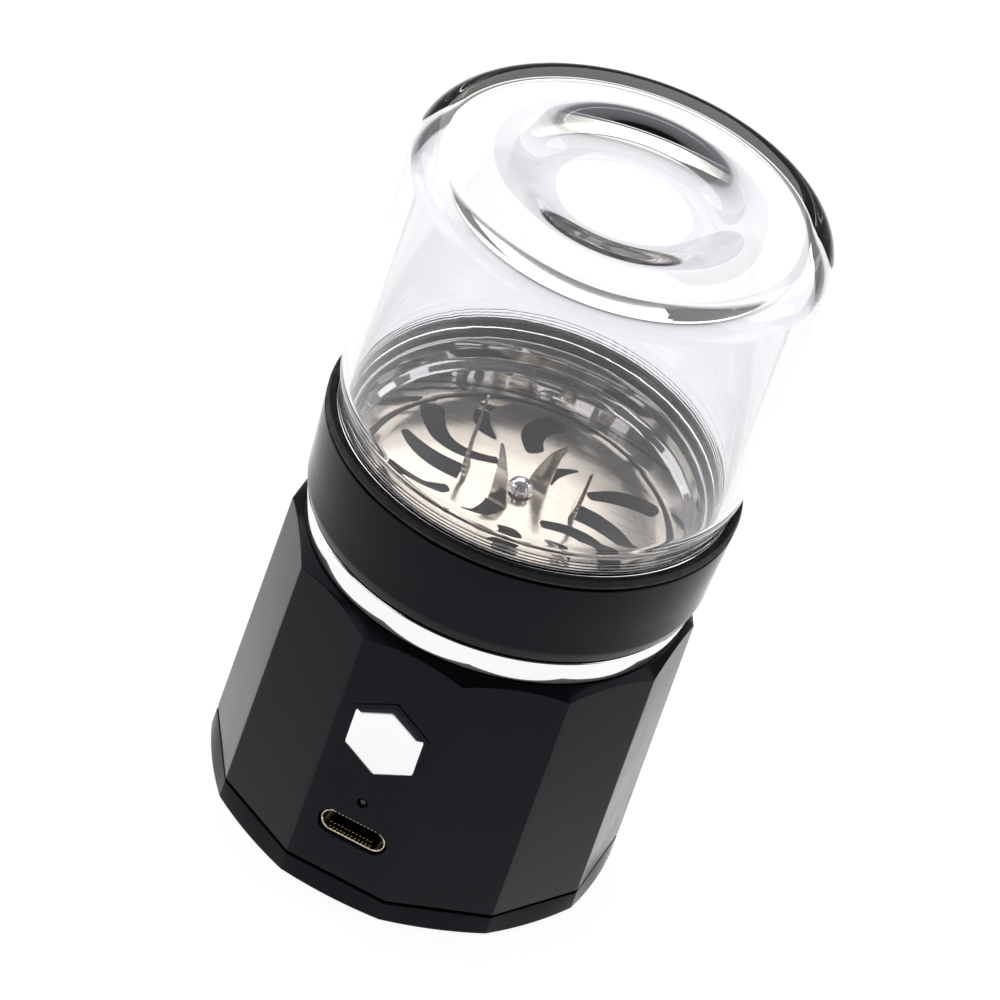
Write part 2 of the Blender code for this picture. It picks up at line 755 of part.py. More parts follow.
def make_button():
    """Six-sided button cap with a hidden flange and a stem, and the switch that it presses."""
    face = -26.0
    cap = rod("power_button", BUTTON_RADIUS, (0, -22.4, BUTTON_Z), -22.4 - face, CHROME, (0, -1, 0), 6)
    turn_corner_up(cap)
    soften_front_edge(cap, face)
    start = (0, -22.0, BUTTON_Z)
    flange = as_cutter(rod("button_flange", BUTTON_RADIUS + 1.1, start, 0.8, None, (0, -1, 0), 6))
    turn_corner_up(flange)
    boolean(cap, flange, "UNION")
    stem = as_cutter(rod("button_stem", 1.6, (0, -19.9, BUTTON_Z), 2.5, direction=(0, -1, 0)))
    boolean(cap, stem, "UNION")
    switch = box("switch_body", (-3.0, -18.0, BUTTON_Z - 3.0), (3.0, -14.5, BUTTON_Z + 3.0), DARK_PLASTIC)
    start = (0, -15.6, BUTTON_Z)
    well = as_cutter(rod("switch_well", 2.05, start, 4, direction=(0, -1, 0), steps=HOLE_STEPS))
    boolean(switch, well, "DIFFERENCE")
    rod("switch_plunger", 1.7, (0, -16.6, BUTTON_Z), 3.0, WHITE_PLASTIC, (0, -1, 0))


def soften_front_edge(cap, face):
    """A broad slanted border round the front of the button."""
    shape = bmesh.new()
    shape.from_mesh(cap.data)
    far = max(vertex.co.z for vertex in shape.verts)
    edges = [edge for edge in shape.edges if all(vertex.co.z > far - 0.1 * MM for vertex in edge.verts)]
    bmesh.ops.bevel(shape, geom=edges, offset=0.6 * MM, segments=2, profile=0.6, affect="EDGES")
    shape.to_mesh(cap.data)
    shape.free()


def make_port():
    """Charging receptacle: a metal shell and the tongue inside it."""
    mouth = -25.3
    back = -14.5
    shell = rounded_slot("port_shell", 4.47, 1.63, mouth, back, PORT_Z, CHROME)
    inside = as_cutter(rounded_slot("port_inside", 4.17, 1.3, mouth - 1, back - 0.6, PORT_Z))
    boolean(shell, inside, "DIFFERENCE")
    box("port_tongue", (-3.3, mouth + 1.1, PORT_Z - 0.35), (3.3, back - 0.9, PORT_Z + 0.35), DARK_PLASTIC)


def make_electronics():
    """Circuit board behind the front facet, what is soldered to it, and the battery at the back."""
    board = box("circuit_board", (-10.0, BOARD_Y[0], 3.8), (10.0, BOARD_Y[1], 35.2), GREEN_BOARD)
    for number, (x, z) in enumerate(BOARD_SCREWS, 1):
        start = (x, -16, z)
        hole = as_cutter(rod(f"board_hole_{number}", 1.2, start, 4, direction=(0, 1, 0), steps=HOLE_STEPS))
        boolean(board, hole, "DIFFERENCE")
        pan_screw(f"board_screw_{number}", (x, BOARD_Y[1] + 0.3, z), (0, -1, 0), 5.0)
    box("status_led", (-0.8, -15.3, LED_Z - 0.5), (0.8, -14.5, LED_Z + 0.5), WHITE_PLASTIC, 0.1)
    rod("light_pipe", 0.45, (0, -15.7, LED_Z), 9.6, CLEAR_PLASTIC, (0, -1, 0))
    box("control_chip", (-8.4, -15.3, 24.0), (-4.4, -14.5, 28.0), DARK_PLASTIC, 0.1)
    box("charge_chip", (4.6, -15.3, 16.2), (7.6, -14.5, 19.2), DARK_PLASTIC, 0.1)
    box("battery_cell", (-10.0, 13.4, 4.6), (10.0, 19.4, 33.6), FOIL, 0.8)


def make_leads():
    """Insulated leads from the board to the motor and to the battery, one red and one black of each."""
    to_motor = [(3.0, -12.2, 8.0), (3.4, -10.4, 8.6), (4.6, -8.2, 10.6), (6.2, -6.2, 12.6), (7.0, -5.0, 14.8)]
    to_battery = [
        (6.0, -12.2, 10.0),
        (7.2, -10.2, 9.6),
        (9.6, -4.0, 8.6),
        (10.2, 3.0, 8.4),
        (8.8, 9.0, 8.6),
        (6.4, 12.7, 9.2),
    ]
    for side, colour, finish in ((1, "red", RED_WIRE), (-1, "black", BLACK_WIRE)):
        lead(f"motor_lead_{colour}", [(side * x, y, z) for x, y, z in to_motor], finish)
        lead(f"battery_lead_{colour}", [(side * x, y, z) for x, y, z in to_battery], finish)


def lead(name, route, finish, pieces=2):
    """A round wire along a smooth curve through the points of its route."""
    points = smooth_route([Vector(point) * MM for point in route], pieces)
    data = bpy.data.curves.new(name, "CURVE")
    data.dimensions = "3D"
    data.bevel_depth = 0.5 * MM
    data.bevel_resolution = 1
    data.use_fill_caps = True
    spline = data.splines.new("POLY")
    spline.points.add(len(points) - 1)
    for slot, point in zip(spline.points, points):
        slot.co = (*point, 1.0)
    data.materials.append(finish)
    obj = bpy.data.objects.new(name, data)
    PARTS.objects.link(obj)


def smooth_route(points, pieces):
    """Points along a Catmull-Rom curve through the given points."""
    ends = [points[0] * 2 - points[1], *points, points[-1] * 2 - points[-2]]
    found = []
    for before, start, stop, after in zip(ends, ends[1:], ends[2:], ends[3:]):
        for step in range(pieces):
            t = step / pieces
            bend = before * (-t + 2 * t**2 - t**3) + start * (2 - 5 * t**2 + 3 * t**3)
            bend += stop * (t + 4 * t**2 - 3 * t**3) + after * (t**3 - t**2)
            found.append(bend / 2)
    return [*found, points[-1]]


def make_collar_screws():
    """Long screws from inside the base, up through the spigot and into the collar."""
    for number, degrees in enumerate(COLLAR_SCREWS[1], 1):
        x, y = on_circle(COLLAR_SCREWS[0], degrees)
        pan_screw(f"collar_screw_{number}", (x, y, 36.3), (0, 0, 1), 12.5)


clear_scene()
PARTS = new_collection("jar_grinder")
CUTTERS = new_collection("cutters", hidden=True)

GLASS = material("clear_glass", (0.95, 0.97, 0.95), 0.02, transmission=1.0)
SATIN_BLACK = material("satin_black_plastic", (0.02, 0.02, 0.023), 0.38)
GLOSS_BLACK = material("gloss_black_plastic", (0.016, 0.016, 0.019), 0.08)
SOFT_BLACK = material("black_silicone", (0.012, 0.012, 0.012), 0.75)
SOFT_CLEAR = material("clear_silicone", (0.75, 0.73, 0.66), 0.45)
CHROME = material("bright_chrome", (0.86, 0.86, 0.87), 0.06, 1.0)
STEEL = material("polished_steel", (0.62, 0.61, 0.6), 0.18, 1.0)
BRUSHED = material("brushed_steel", (0.55, 0.55, 0.54), 0.35, 1.0)
WARM_STEEL = material("warm_polished_steel", (0.72, 0.67, 0.61), 0.16, 1.0)
SCREW_STEEL = material("zinc_screw", (0.6, 0.6, 0.58), 0.3, 1.0)
BRASS = material("brass", (0.72, 0.55, 0.25), 0.28, 1.0)
COPPER = material("copper", (0.72, 0.4, 0.25), 0.3, 1.0)
LAMINATE = material("lacquered_iron", (0.22, 0.2, 0.19), 0.5, 0.6)
FERRITE = material("ferrite", (0.06, 0.06, 0.065), 0.7)
WHITE_PLASTIC = material("white_plastic", (0.8, 0.79, 0.76), 0.45)
DARK_PLASTIC = material("dark_plastic", (0.03, 0.03, 0.03), 0.45)
CLEAR_PLASTIC = material("clear_plastic", (0.85, 0.87, 0.9), 0.1)
GREEN_BOARD = material("circuit_laminate", (0.02, 0.16, 0.07), 0.4)
FOIL = material("battery_foil", (0.66, 0.66, 0.68), 0.35, 0.6)
RED_WIRE = material("red_insulation", (0.55, 0.03, 0.03), 0.45)
BLACK_WIRE = material("black_insulation", (0.02, 0.02, 0.02), 0.45)

make_jar()
make_collar_stack()
make_cup()
make_blade_disc()
make_blade_mount()
make_motor()
make_housing()
make_bottom()
make_collar_screws()
make_button()
make_port()
make_electronics()
make_leads()
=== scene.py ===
"""The looks of the jar grinder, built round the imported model: fine meshes and materials for every piece.

The grinder stands on its twelve-sided base with its glass jar on top, mouth down. Lengths are in
millimetres and become metres through MM, and sizes come from the frame's boxes wherever it has them.
"""

import json
import math

import bmesh
import bpy
from mathutils import Matrix, Vector


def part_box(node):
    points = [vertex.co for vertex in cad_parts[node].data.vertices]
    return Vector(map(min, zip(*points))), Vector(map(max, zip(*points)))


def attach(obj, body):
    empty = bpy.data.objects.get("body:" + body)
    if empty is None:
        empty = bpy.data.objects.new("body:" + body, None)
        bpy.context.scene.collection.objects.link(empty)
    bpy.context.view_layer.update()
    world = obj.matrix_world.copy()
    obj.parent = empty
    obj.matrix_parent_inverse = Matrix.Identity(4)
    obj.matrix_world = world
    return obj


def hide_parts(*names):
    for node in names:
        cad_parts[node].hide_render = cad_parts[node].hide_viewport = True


MM = 0.001
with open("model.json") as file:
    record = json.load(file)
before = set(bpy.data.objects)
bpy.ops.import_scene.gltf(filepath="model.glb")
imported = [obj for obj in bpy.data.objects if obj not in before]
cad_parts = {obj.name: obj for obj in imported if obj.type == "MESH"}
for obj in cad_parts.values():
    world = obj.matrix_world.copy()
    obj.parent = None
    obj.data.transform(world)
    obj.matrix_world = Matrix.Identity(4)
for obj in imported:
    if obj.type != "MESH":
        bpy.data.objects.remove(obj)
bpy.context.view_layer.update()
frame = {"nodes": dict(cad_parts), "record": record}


def low(node):
    """The height of a CAD node's underside."""
    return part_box(node)[0].z / MM


def high(node):
    """The height of a CAD node's upper side."""
    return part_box(node)[1].z / MM


def reach(node):
    """How far a CAD node goes from the grinder's axis along +X."""
    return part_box(node)[1].x / MM


def middle(node):
    """The middle of a CAD node's box."""
    lowest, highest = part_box(node)
    return (lowest + highest) / 2 / MM


ROUND = 160  # steps round a large turned piece
FINE_ROUND = 192  # steps round the jar and the cup
MEDIUM_ROUND = 96  # steps round the hub, the bush and the shaft seal
SMALL_ROUND = 48  # steps round a screw or a hole
ARC_STEPS = 6  # steps along a rounded corner

SIDES = 12
HALF_FACET = math.pi / SIDES
SHOULDER_Z = 38.1  # where the facets' corners meet the conical shoulder
SHOULDER_SLOPE = 0.9  # drop of the shoulder for each millimetre outwards
CORNER_RADIUS = 26.0  # of the facets' corners, at SHOULDER_Z
FACET_FLARE = 0.018  # growth of that radius for each millimetre downwards
DECK_Z = 39.5  # the housing's flat top, round its spigot
WALL = 2.0  # thickness of the housing
COVER_ROUNDNESS = 0.6  # of the cover's lower outline, from twelve-sided at 0 to round at 1
COVER_SCREWS = (21.8, (30, 150, 270))  # distance from the axis and angles, as for the next two
PLATE_SCREWS = (17.6, (30, 150, 270))
COLLAR_SCREWS = (21.9, (75, 195, 315))
BOARD_SCREWS = ((-6.0, 33.0), (6.0, 5.9))  # X and Z
BUTTON_RADIUS = 5.5  # of its corners
PORT_HALVES = (4.47, 1.63)  # half the width and half the height of the port's shell

JAR_END = 3.6  # from the jar's top to its inner face, near the wall
JAR_DISH = 2.7  # depth of the hollow in the outer face
JAR_BULGE = 0.4  # how far the middle of the inner face hangs down
JAR_SHOULDER = 3.9  # radius of the round between the jar's top and its wall
NECK = 25.1  # radius of the jar between its wall and its seat

FLOOR_GLOW = 0.92
ROOM_FRONT = (0.025, 0.025, 0.03)
ROOM_BACK = (0.2, 0.2, 0.215)
WARM_LIGHT = (1.0, 0.97, 0.92)
BLUISH = (0.86, 0.85, 1.0)  # tint of the black plastics' reflections


# ---------------------------------------------------------------- mesh helpers


def rounded(corners, closed=True, steps=ARC_STEPS):
    """Outline points from (x, y, radius) corners, each turned into an arc of its radius."""
    found = []
    for index, (x, y, radius) in enumerate(corners):
        here = Vector((x, y))
        at_end = not closed and index in (0, len(corners) - 1)
        if radius == 0 or at_end:
            found.append(here)
            continue
        before = Vector(corners[index - 1][:2]) - here
        after = Vector(corners[(index + 1) % len(corners)][:2]) - here
        half = before.angle(after) / 2
        run = min(radius / math.tan(half), before.length * 0.49, after.length * 0.49)
        start = here + before.normalized() * run
        stop = here + after.normalized() * run
        pull = math.sin(half)
        for step in range(steps + 1):
            t = step / steps
            weights = (1 - t) ** 2, 2 * t * (1 - t) * pull, t**2
            point = start * weights[0] + here * weights[1] + stop * weights[2]
            found.append(point / sum(weights))
    return found


def skin(columns, closed):
    """A mesh through columns of points, one after another round the axis; closed joins each one's ends."""
    shape = bmesh.new()
    grid = [[shape.verts.new(Vector(point) * MM) for point in column] for column in columns]
    for near, far in zip(grid, grid[1:] + grid[:1]):
        rows = len(near) if closed else len(near) - 1
        for row in range(rows):
            below = (row + 1) % len(near)
            shape.faces.new((near[row], near[below], far[below], far[row]))
    bmesh.ops.remove_doubles(shape, verts=shape.verts, dist=0.0001 * MM)
    bmesh.ops.recalc_face_normals(shape, faces=shape.faces)
    return shape


def turned(profile, steps=ROUND, closed=True):
    """A shape turned about the axis from (radius, height) points."""
    columns = []
    for step in range(steps):
        angle = math.tau * step / steps
        columns.append([(r * math.cos(angle), r * math.sin(angle), z) for r, z in profile])
    return skin(columns, closed)


def prism(outline, depth, taper=1.0):
    """A plate of an outline in its own XY plane, up to Z depth; the far end may be larger or smaller."""
    shape = bmesh.new()
    near = [shape.verts.new((x * MM, y * MM, 0)) for x, y in outline]
    far = [shape.verts.new((x * taper * MM, y * taper * MM, depth * MM)) for x, y in outline]
    shape.faces.new(near)
    shape.faces.new(far)
    for index in range(len(outline)):
        after = (index + 1) % len(outline)
        shape.faces.new((near[index], near[after], far[after], far[index]))
    bmesh.ops.recalc_face_normals(shape, faces=shape.faces)
    return shape


def lofted(outlines):
    """A closed body through outlines of equally many (x, y, z) points, capped at both ends."""
    shape = bmesh.new()
    rows = [[shape.verts.new(Vector(point) * MM) for point in outline] for outline in outlines]
    for near, far in zip(rows, rows[1:]):
        for index in range(len(near)):
            after = (index + 1) % len(near)
            shape.faces.new((near[index], near[after], far[after], far[index]))
    shape.faces.new(rows[0])
    shape.faces.new(rows[-1])
    bmesh.ops.recalc_face_normals(shape, faces=shape.faces)
    return shape


def bar(radius, length, steps=SMALL_ROUND):
    """A round bar along +Z."""
    return turned([(0, length), (radius, length), (radius, 0), (0, 0)], steps, closed=False)


def circle(radius, steps, turn=0.0):
    """Points round a circle, or a polygon's corners."""
    angles = [turn + math.tau * step / steps for step in range(steps)]
    return [(radius * math.cos(angle), radius * math.sin(angle)) for angle in angles]


def slot_shape(half_width, half_height, steps=12):
    """The outline of a slot with half-round ends."""
    points = []
    for side in (1, -1):
        for step in range(steps + 1):
            angle = side * (-math.pi / 2 + math.pi * step / steps)
            x = side * (half_width - half_height + half_height * math.cos(angle))
            points.append((x, half_height * math.sin(angle)))
    return points


def placed(shape, foot, direction=(0, 0, 1), turn=0.0):
    """Moves a shape: its origin to foot, and its own Z along a direction, after a turn about that Z."""
    shift = Matrix.Translation(Vector(foot) * MM)
    aim = Vector(direction).to_track_quat("Z", "Y").to_matrix().to_4x4()
    spin = Matrix.Rotation(math.radians(turn), 4, "Z")
    bmesh.ops.transform(shape, matrix=shift @ aim @ spin, verts=shape.verts)
    return shape


def on_circle(radius, degrees):
    """A point on a circle round the axis."""
    angle = math.radians(degrees)
    return radius * math.cos(angle), radius * math.sin(angle)


def joined(shapes):
    """Several shapes as one."""
    whole = bmesh.new()
    for shape in shapes:
        mesh = bpy.data.meshes.new("part")
        shape.to_mesh(mesh)
        shape.free()
        whole.from_mesh(mesh)
        bpy.data.meshes.remove(mesh)
    return whole


def mesh_object(name, shape):
    """An object of a shape, in the scene."""
    mesh = bpy.data.meshes.new(name)
    shape.to_mesh(mesh)
    shape.free()
    obj = bpy.data.objects.new(name, mesh)
    bpy.context.scene.collection.objects.link(obj)
    return obj


def combine(obj, shapes, operation):
    """Cuts shapes from an object or joins them to it, for good."""
    tool = mesh_object("tool", joined(shapes))
    modifier = obj.modifiers.new("combine", "BOOLEAN")
    modifier.object = tool
    modifier.operation = operation
    modifier.solver = "EXACT"
    graph = bpy.context.evaluated_depsgraph_get()
    result = bpy.data.meshes.new_from_object(obj.evaluated_get(graph))
    obj.modifiers.clear()
    obj.data = result
    bpy.data.objects.remove(tool)
    return obj


def piece(obj, finish, slot, body, *nodes, crease=30):
    """Makes an object a piece of the grinder: its shading, material and body; and hides the CAD nodes that
    it stands for.
    """
    obj.data.materials.clear()
    obj.data.materials.append(finish)
    obj.data.shade_smooth()
    obj.data.set_sharp_from_angle(angle=math.radians(crease))
    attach(obj, body)
    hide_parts(*nodes)
    return obj


# ---------------------------------------------------------------- materials


class Finish:
    """A material with a Principled shader whose sockets take a number, a colour or another node."""

    def __init__(self, name, **values):
        self.material = bpy.data.materials.new(name)
        self.material.use_nodes = True
        self.nodes = self.material.node_tree.nodes
        self.links = self.material.node_tree.links
        self.shader = self.nodes["Principled BSDF"]
        self.place = self.add("ShaderNodeTexCoord").outputs["Object"]
        for socket, value in values.items():
            self.put(socket.replace("_", " "), value)

    def put(self, socket, value):
        """Sets one of the shader's sockets, or links a node's output to it."""
        if isinstance(value, bpy.types.NodeSocket):
            self.links.new(value, self.shader.inputs[socket])
        elif isinstance(value, tuple):
            self.shader.inputs[socket].default_value = (*value, 1.0)
        else:
            self.shader.inputs[socket].default_value = value

    def add(self, kind, inputs=None, **settings):
        """A new node with its settings, and with inputs that are values or other nodes' outputs."""
        node = self.nodes.new(kind)
        for name, value in settings.items():
            setattr(node, name, value)
        for name, value in (inputs or {}).items():
            if isinstance(value, bpy.types.NodeSocket):
                self.links.new(value, node.inputs[name])
            else:
                node.inputs[name].default_value = value
        return node

    def stretched(self, scale):
        """Object coordinates, scaled along each axis."""
        return self.add("ShaderNodeMapping", {"Vector": self.place, "Scale": scale}).outputs["Vector"]

    def noise(self, scale, detail=4.0, where=None):
        """Noise of a number of cells to the metre."""
        inputs = {"Vector": where or self.place, "Scale": scale, "Detail": detail}
        return self.add("ShaderNodeTexNoise", inputs).outputs["Fac"]

    def remap(self, value, to_low, to_high, from_low=0.3, from_high=0.7):
        """One range of a value stretched to another. The first is the middle of what noise gives."""
        inputs = {"Value": value, "From Min": from_low, "From Max": from_high}
        inputs |= {"To Min": to_low, "To Max": to_high}
        return self.add("ShaderNodeMapRange", inputs).outputs["Result"]

    def blend(self, factor, first, second):
        """A mix of two colours; each is a colour or another node's output."""
        inputs = {"Factor": factor}
        for name, colour in (("A", first), ("B", second)):
            inputs[name] = (*colour, 1.0) if isinstance(colour, tuple) else colour
        return self.add("ShaderNodeMix", inputs, data_type="RGBA").outputs["Result"]

    def bump(self, height, strength, distance):
        """Relief from a height of 0 to 1, whose full rise is the distance in millimetres."""
        inputs = {"Height": height, "Strength": strength, "Distance": distance * MM}
        self.put("Normal", self.add("ShaderNodeBump", inputs).outputs["Normal"])
        return self


def uneven(finish, colour, other, rough, scale):
    """Gives a finish patches of a second colour and an uneven gloss."""
    patches = finish.remap(finish.noise(scale), 0.0, 1.0)
    finish.put("Base Color", finish.blend(patches, colour, other))
    finish.put("Roughness", finish.remap(finish.noise(scale * 3.1), *rough))


def clear_glass():
    """The jar: slightly wavy glass that is green where the light goes far through it."""
    finish = Finish("clear_jar_glass", Roughness=0.0, IOR=1.5, Transmission_Weight=1.0)
    finish.put("Base Color", (0.94, 0.937, 0.97))
    waves = finish.noise(130.0, 2.0, finish.stretched((0.2, 0.2, 5.0)))
    finish.bump(waves, 0.015, 0.15)
    body = finish.add("ShaderNodeVolumeAbsorption", {"Color": (0.93, 0.97, 0.83, 1.0), "Density": 32.0})
    finish.links.new(body.outputs["Volume"], finish.nodes["Material Output"].inputs["Volume"])
    return finish.material


def satin_plastic():
    """Charcoal plastic with a soft sheen: a very fine spark-eroded grain and faint handling marks."""
    finish = Finish("satin_charcoal_plastic", Specular_IOR_Level=0.12, Specular_Tint=BLUISH)
    finish.bump(finish.noise(2600.0, 2.0), 0.05, 0.01)
    tones = finish.blend(finish.noise(60.0), (0.0052, 0.005, 0.0072), (0.0068, 0.0066, 0.009))
    finish.put("Base Color", tones)
    finish.put("Roughness", finish.remap(finish.noise(170.0, 6.0), 0.13, 0.2))
    return finish.material


def gloss_plastic():
    """Polished black plastic, with the slight waviness of a moulded surface and hairline wear."""
    finish = Finish("polished_black_plastic", Specular_IOR_Level=0.14, Specular_Tint=BLUISH)
    tones = finish.blend(finish.noise(40.0), (0.003, 0.0029, 0.0044), (0.0045, 0.0043, 0.006))
    finish.put("Base Color", tones)
    scratches = finish.noise(900.0, 3.0, finish.stretched((1.0, 1.0, 0.06)))
    finish.put("Roughness", finish.remap(scratches, 0.05, 0.11, 0.35, 0.75))
    finish.bump(finish.noise(120.0, 1.0), 0.03, 0.03)
    return finish.material


def soft_rubber():
    """Matt rubber with a pebbled grain that glints a little."""
    finish = Finish("black_grained_rubber", Specular_IOR_Level=0.35)
    speckle = finish.noise(3200.0, 3.0)
    grain = finish.remap(speckle, 0.0, 1.0)
    finish.put("Base Color", finish.blend(grain, (0.006, 0.006, 0.006), (0.014, 0.014, 0.0135)))
    finish.put("Roughness", finish.remap(finish.noise(900.0), 0.5, 0.75))
    finish.bump(speckle, 0.5, 0.05)
    return finish.material


def chrome(name="bright_chrome_plate", colour=(0.93, 0.93, 0.935)):
    """Plated metal: nearly a mirror, with faint haze and the ripple of the part under it."""
    finish = Finish(name, Metallic=1.0)
    darker = tuple(value * 0.96 for value in colour)
    finish.put("Base Color", finish.blend(finish.noise(90.0), colour, darker))
    finish.put("Roughness", finish.remap(finish.noise(600.0, 5.0), 0.03, 0.085))
    finish.bump(finish.noise(160.0, 1.0), 0.02, 0.05)
    return finish.material


def drawn_steel():
    """The cup: drawn, polished in fine rings up its wall, left dull on its floor, and painted dark there as
    shade under the blade.
    """
    finish = Finish("drawn_polished_steel", Metallic=1.0)
    rings = finish.noise(70.0, 5.0, finish.stretched((1.0, 1.0, 60.0)))
    height = finish.add("ShaderNodeSeparateXYZ", {"Vector": finish.place}).outputs["Z"]
    # 0 on the floor, which is painted dark as shade under the blade, and 1 up the wall.
    wall = finish.remap(height, 0.0, 1.0, 48.7 * MM, 50.3 * MM)
    polished = finish.blend(finish.remap(rings, 0.0, 1.0), (0.52, 0.515, 0.51), (0.66, 0.65, 0.64))
    # The floor's dark grey is painted shade under the blade, not a colour of the steel.
    finish.put("Base Color", finish.blend(wall, (0.13, 0.13, 0.14), polished))
    dull = finish.remap(wall, 0.5, 0.0, 0.0, 1.0)
    gloss = finish.remap(rings, 0.02, 0.06)
    finish.put("Roughness", finish.add("ShaderNodeMath", {0: gloss, 1: dull}, operation="ADD").outputs[0])
    finish.bump(rings, 0.02, 0.03)
    return finish.material


def warm_steel():
    """The blade: stamped stainless sheet with a warm polish and fine rolling lines across it."""
    finish = Finish("warm_stamped_steel", Metallic=1.0)
    lines = finish.noise(140.0, 6.0, finish.stretched((1.0, 26.0, 1.0)))
    patches = finish.remap(finish.noise(85.0, 3.0), 0.0, 1.0)
    finish.put("Base Color", finish.blend(patches, (0.78, 0.72, 0.63), (0.87, 0.81, 0.71)))
    finish.put("Roughness", finish.remap(lines, 0.13, 0.24))
    finish.bump(lines, 0.035, 0.03)
    return finish.material


def brushed_metal(name, colour, scale=(1.0, 30.0, 1.0)):
    """Metal with lines along one direction."""
    finish = Finish(name, Metallic=1.0)
    lines = finish.noise(160.0, 5.0, finish.stretched(scale))
    darker = tuple(value * 0.86 for value in colour)
    finish.put("Base Color", finish.blend(finish.remap(lines, 0.0, 1.0), colour, darker))
    finish.put("Roughness", finish.remap(lines, 0.22, 0.4))
    finish.bump(lines, 0.08, 0.03)
    return finish.material


def board_laminate():
    """Green solder mask over a weave, with paler copper tracks under it."""
    finish = Finish("circuit_laminate", Specular_IOR_Level=0.5)
    inputs = {"Vector": finish.stretched((1.0, 0.0, 1.0)), "Scale": 220.0}
    inputs |= {"Color1": (0.010, 0.085, 0.035, 1.0), "Color2": (0.014, 0.11, 0.05, 1.0)}
    inputs["Mortar"] = (0.03, 0.2, 0.09, 1.0)
    tracks = finish.add("ShaderNodeTexBrick", inputs)
    finish.put("Base Color", tracks.outputs["Color"])
    finish.put("Roughness", finish.remap(finish.noise(500.0), 0.25, 0.4))
    finish.bump(finish.noise(2400.0, 2.0), 0.15, 0.02)
    return finish.material


def laminated_iron():
    """Stacked iron sheets under lacquer: fine bands up the height."""
    finish = Finish("laminated_iron", Metallic=0.7)
    bands = finish.noise(60.0, 2.0, finish.stretched((0.05, 0.05, 40.0)))
    sheets = finish.remap(bands, 0.0, 1.0)
    finish.put("Base Color", finish.blend(sheets, (0.1, 0.09, 0.085), (0.24, 0.22, 0.2)))
    finish.put("Roughness", finish.remap(bands, 0.35, 0.6))
    finish.bump(bands, 0.2, 0.05)
    return finish.material


def plain(name, colour, other, rough=(0.35, 0.55), **values):
    """A moulded, pressed or extruded material with an uneven tone, gloss and surface."""
    scale = 120.0
    finish = Finish(name, **values)
    uneven(finish, colour, other, rough, scale)
    finish.bump(finish.noise(scale * 12, 3.0), 0.12, 0.02)
    return finish.material


GLASS = clear_glass()
SATIN = satin_plastic()
GLOSS = gloss_plastic()
RUBBER = soft_rubber()
CHROME = chrome()
CUP_STEEL = drawn_steel()
BLADE_STEEL = warm_steel()
SILICONE = plain(
    "warm_silicone", (0.62, 0.52, 0.36), (0.7, 0.6, 0.43), (0.35, 0.5), Transmission_Weight=0.35
)
SCREW_ZINC = brushed_metal("zinc_plated_screw", (0.6, 0.6, 0.58), (30.0, 1.0, 1.0))
BRUSHED = brushed_metal("brushed_steel", (0.56, 0.56, 0.55))
BRASS = brushed_metal("turned_brass", (0.72, 0.53, 0.24), (1.0, 1.0, 40.0))
COPPER = brushed_metal("turned_copper", (0.72, 0.38, 0.24), (1.0, 1.0, 40.0))
GOLD = chrome("gold_contact_plate", (0.83, 0.62, 0.27))
PORT_STEEL = chrome("nickel_port_shell", (0.62, 0.56, 0.47))
IRON = laminated_iron()
FERRITE = plain("pressed_ferrite", (0.035, 0.035, 0.038), (0.06, 0.06, 0.064), (0.6, 0.8))
WHITE = plain("white_moulded_plastic", (0.76, 0.75, 0.72), (0.82, 0.81, 0.78))
DARK = plain("dark_moulded_plastic", (0.012, 0.012, 0.013), (0.024, 0.024, 0.026))
LENS = plain(
    "smoky_light_pipe", (0.03, 0.03, 0.033), (0.045, 0.045, 0.05), (0.12, 0.25), Transmission_Weight=0.4
)
BOARD = board_laminate()
FOIL = brushed_metal("battery_foil", (0.66, 0.66, 0.68), (1.0, 1.0, 8.0))
RED = plain("red_wire_insulation", (0.42, 0.015, 0.012), (0.52, 0.025, 0.02))
BLACK = plain("black_wire_insulation", (0.012, 0.012, 0.012), (0.022, 0.022, 0.022))


# ---------------------------------------------------------------- jar


def dished(height, depth, inner, outer, steps=40):
    """Points from the axis out, a depth below the height up to one radius, then easing up to it."""
    points = []
    for step in range(steps + 1):
        radius = outer * step / steps
        share = max(0.0, (radius - inner) / (outer - inner))
        rise = share**3 * (share * (6 * share - 15) + 10)
        points.append((radius, height - depth * (1 - rise)))
    return points


def ridges(radius, foot):
    """Corners of the fine raised rings round the jar, just over its seat, from the top down."""
    pitch, width, rise = 0.45, 0.26, 0.1
    corners = []
    for number in reversed(range(4)):
        height = foot + number * pitch
        crest = (radius + rise, height + width / 2, 0.1)
        corners += [(radius, height + width, 0.1), crest, (radius, height, 0.1)]
    return corners


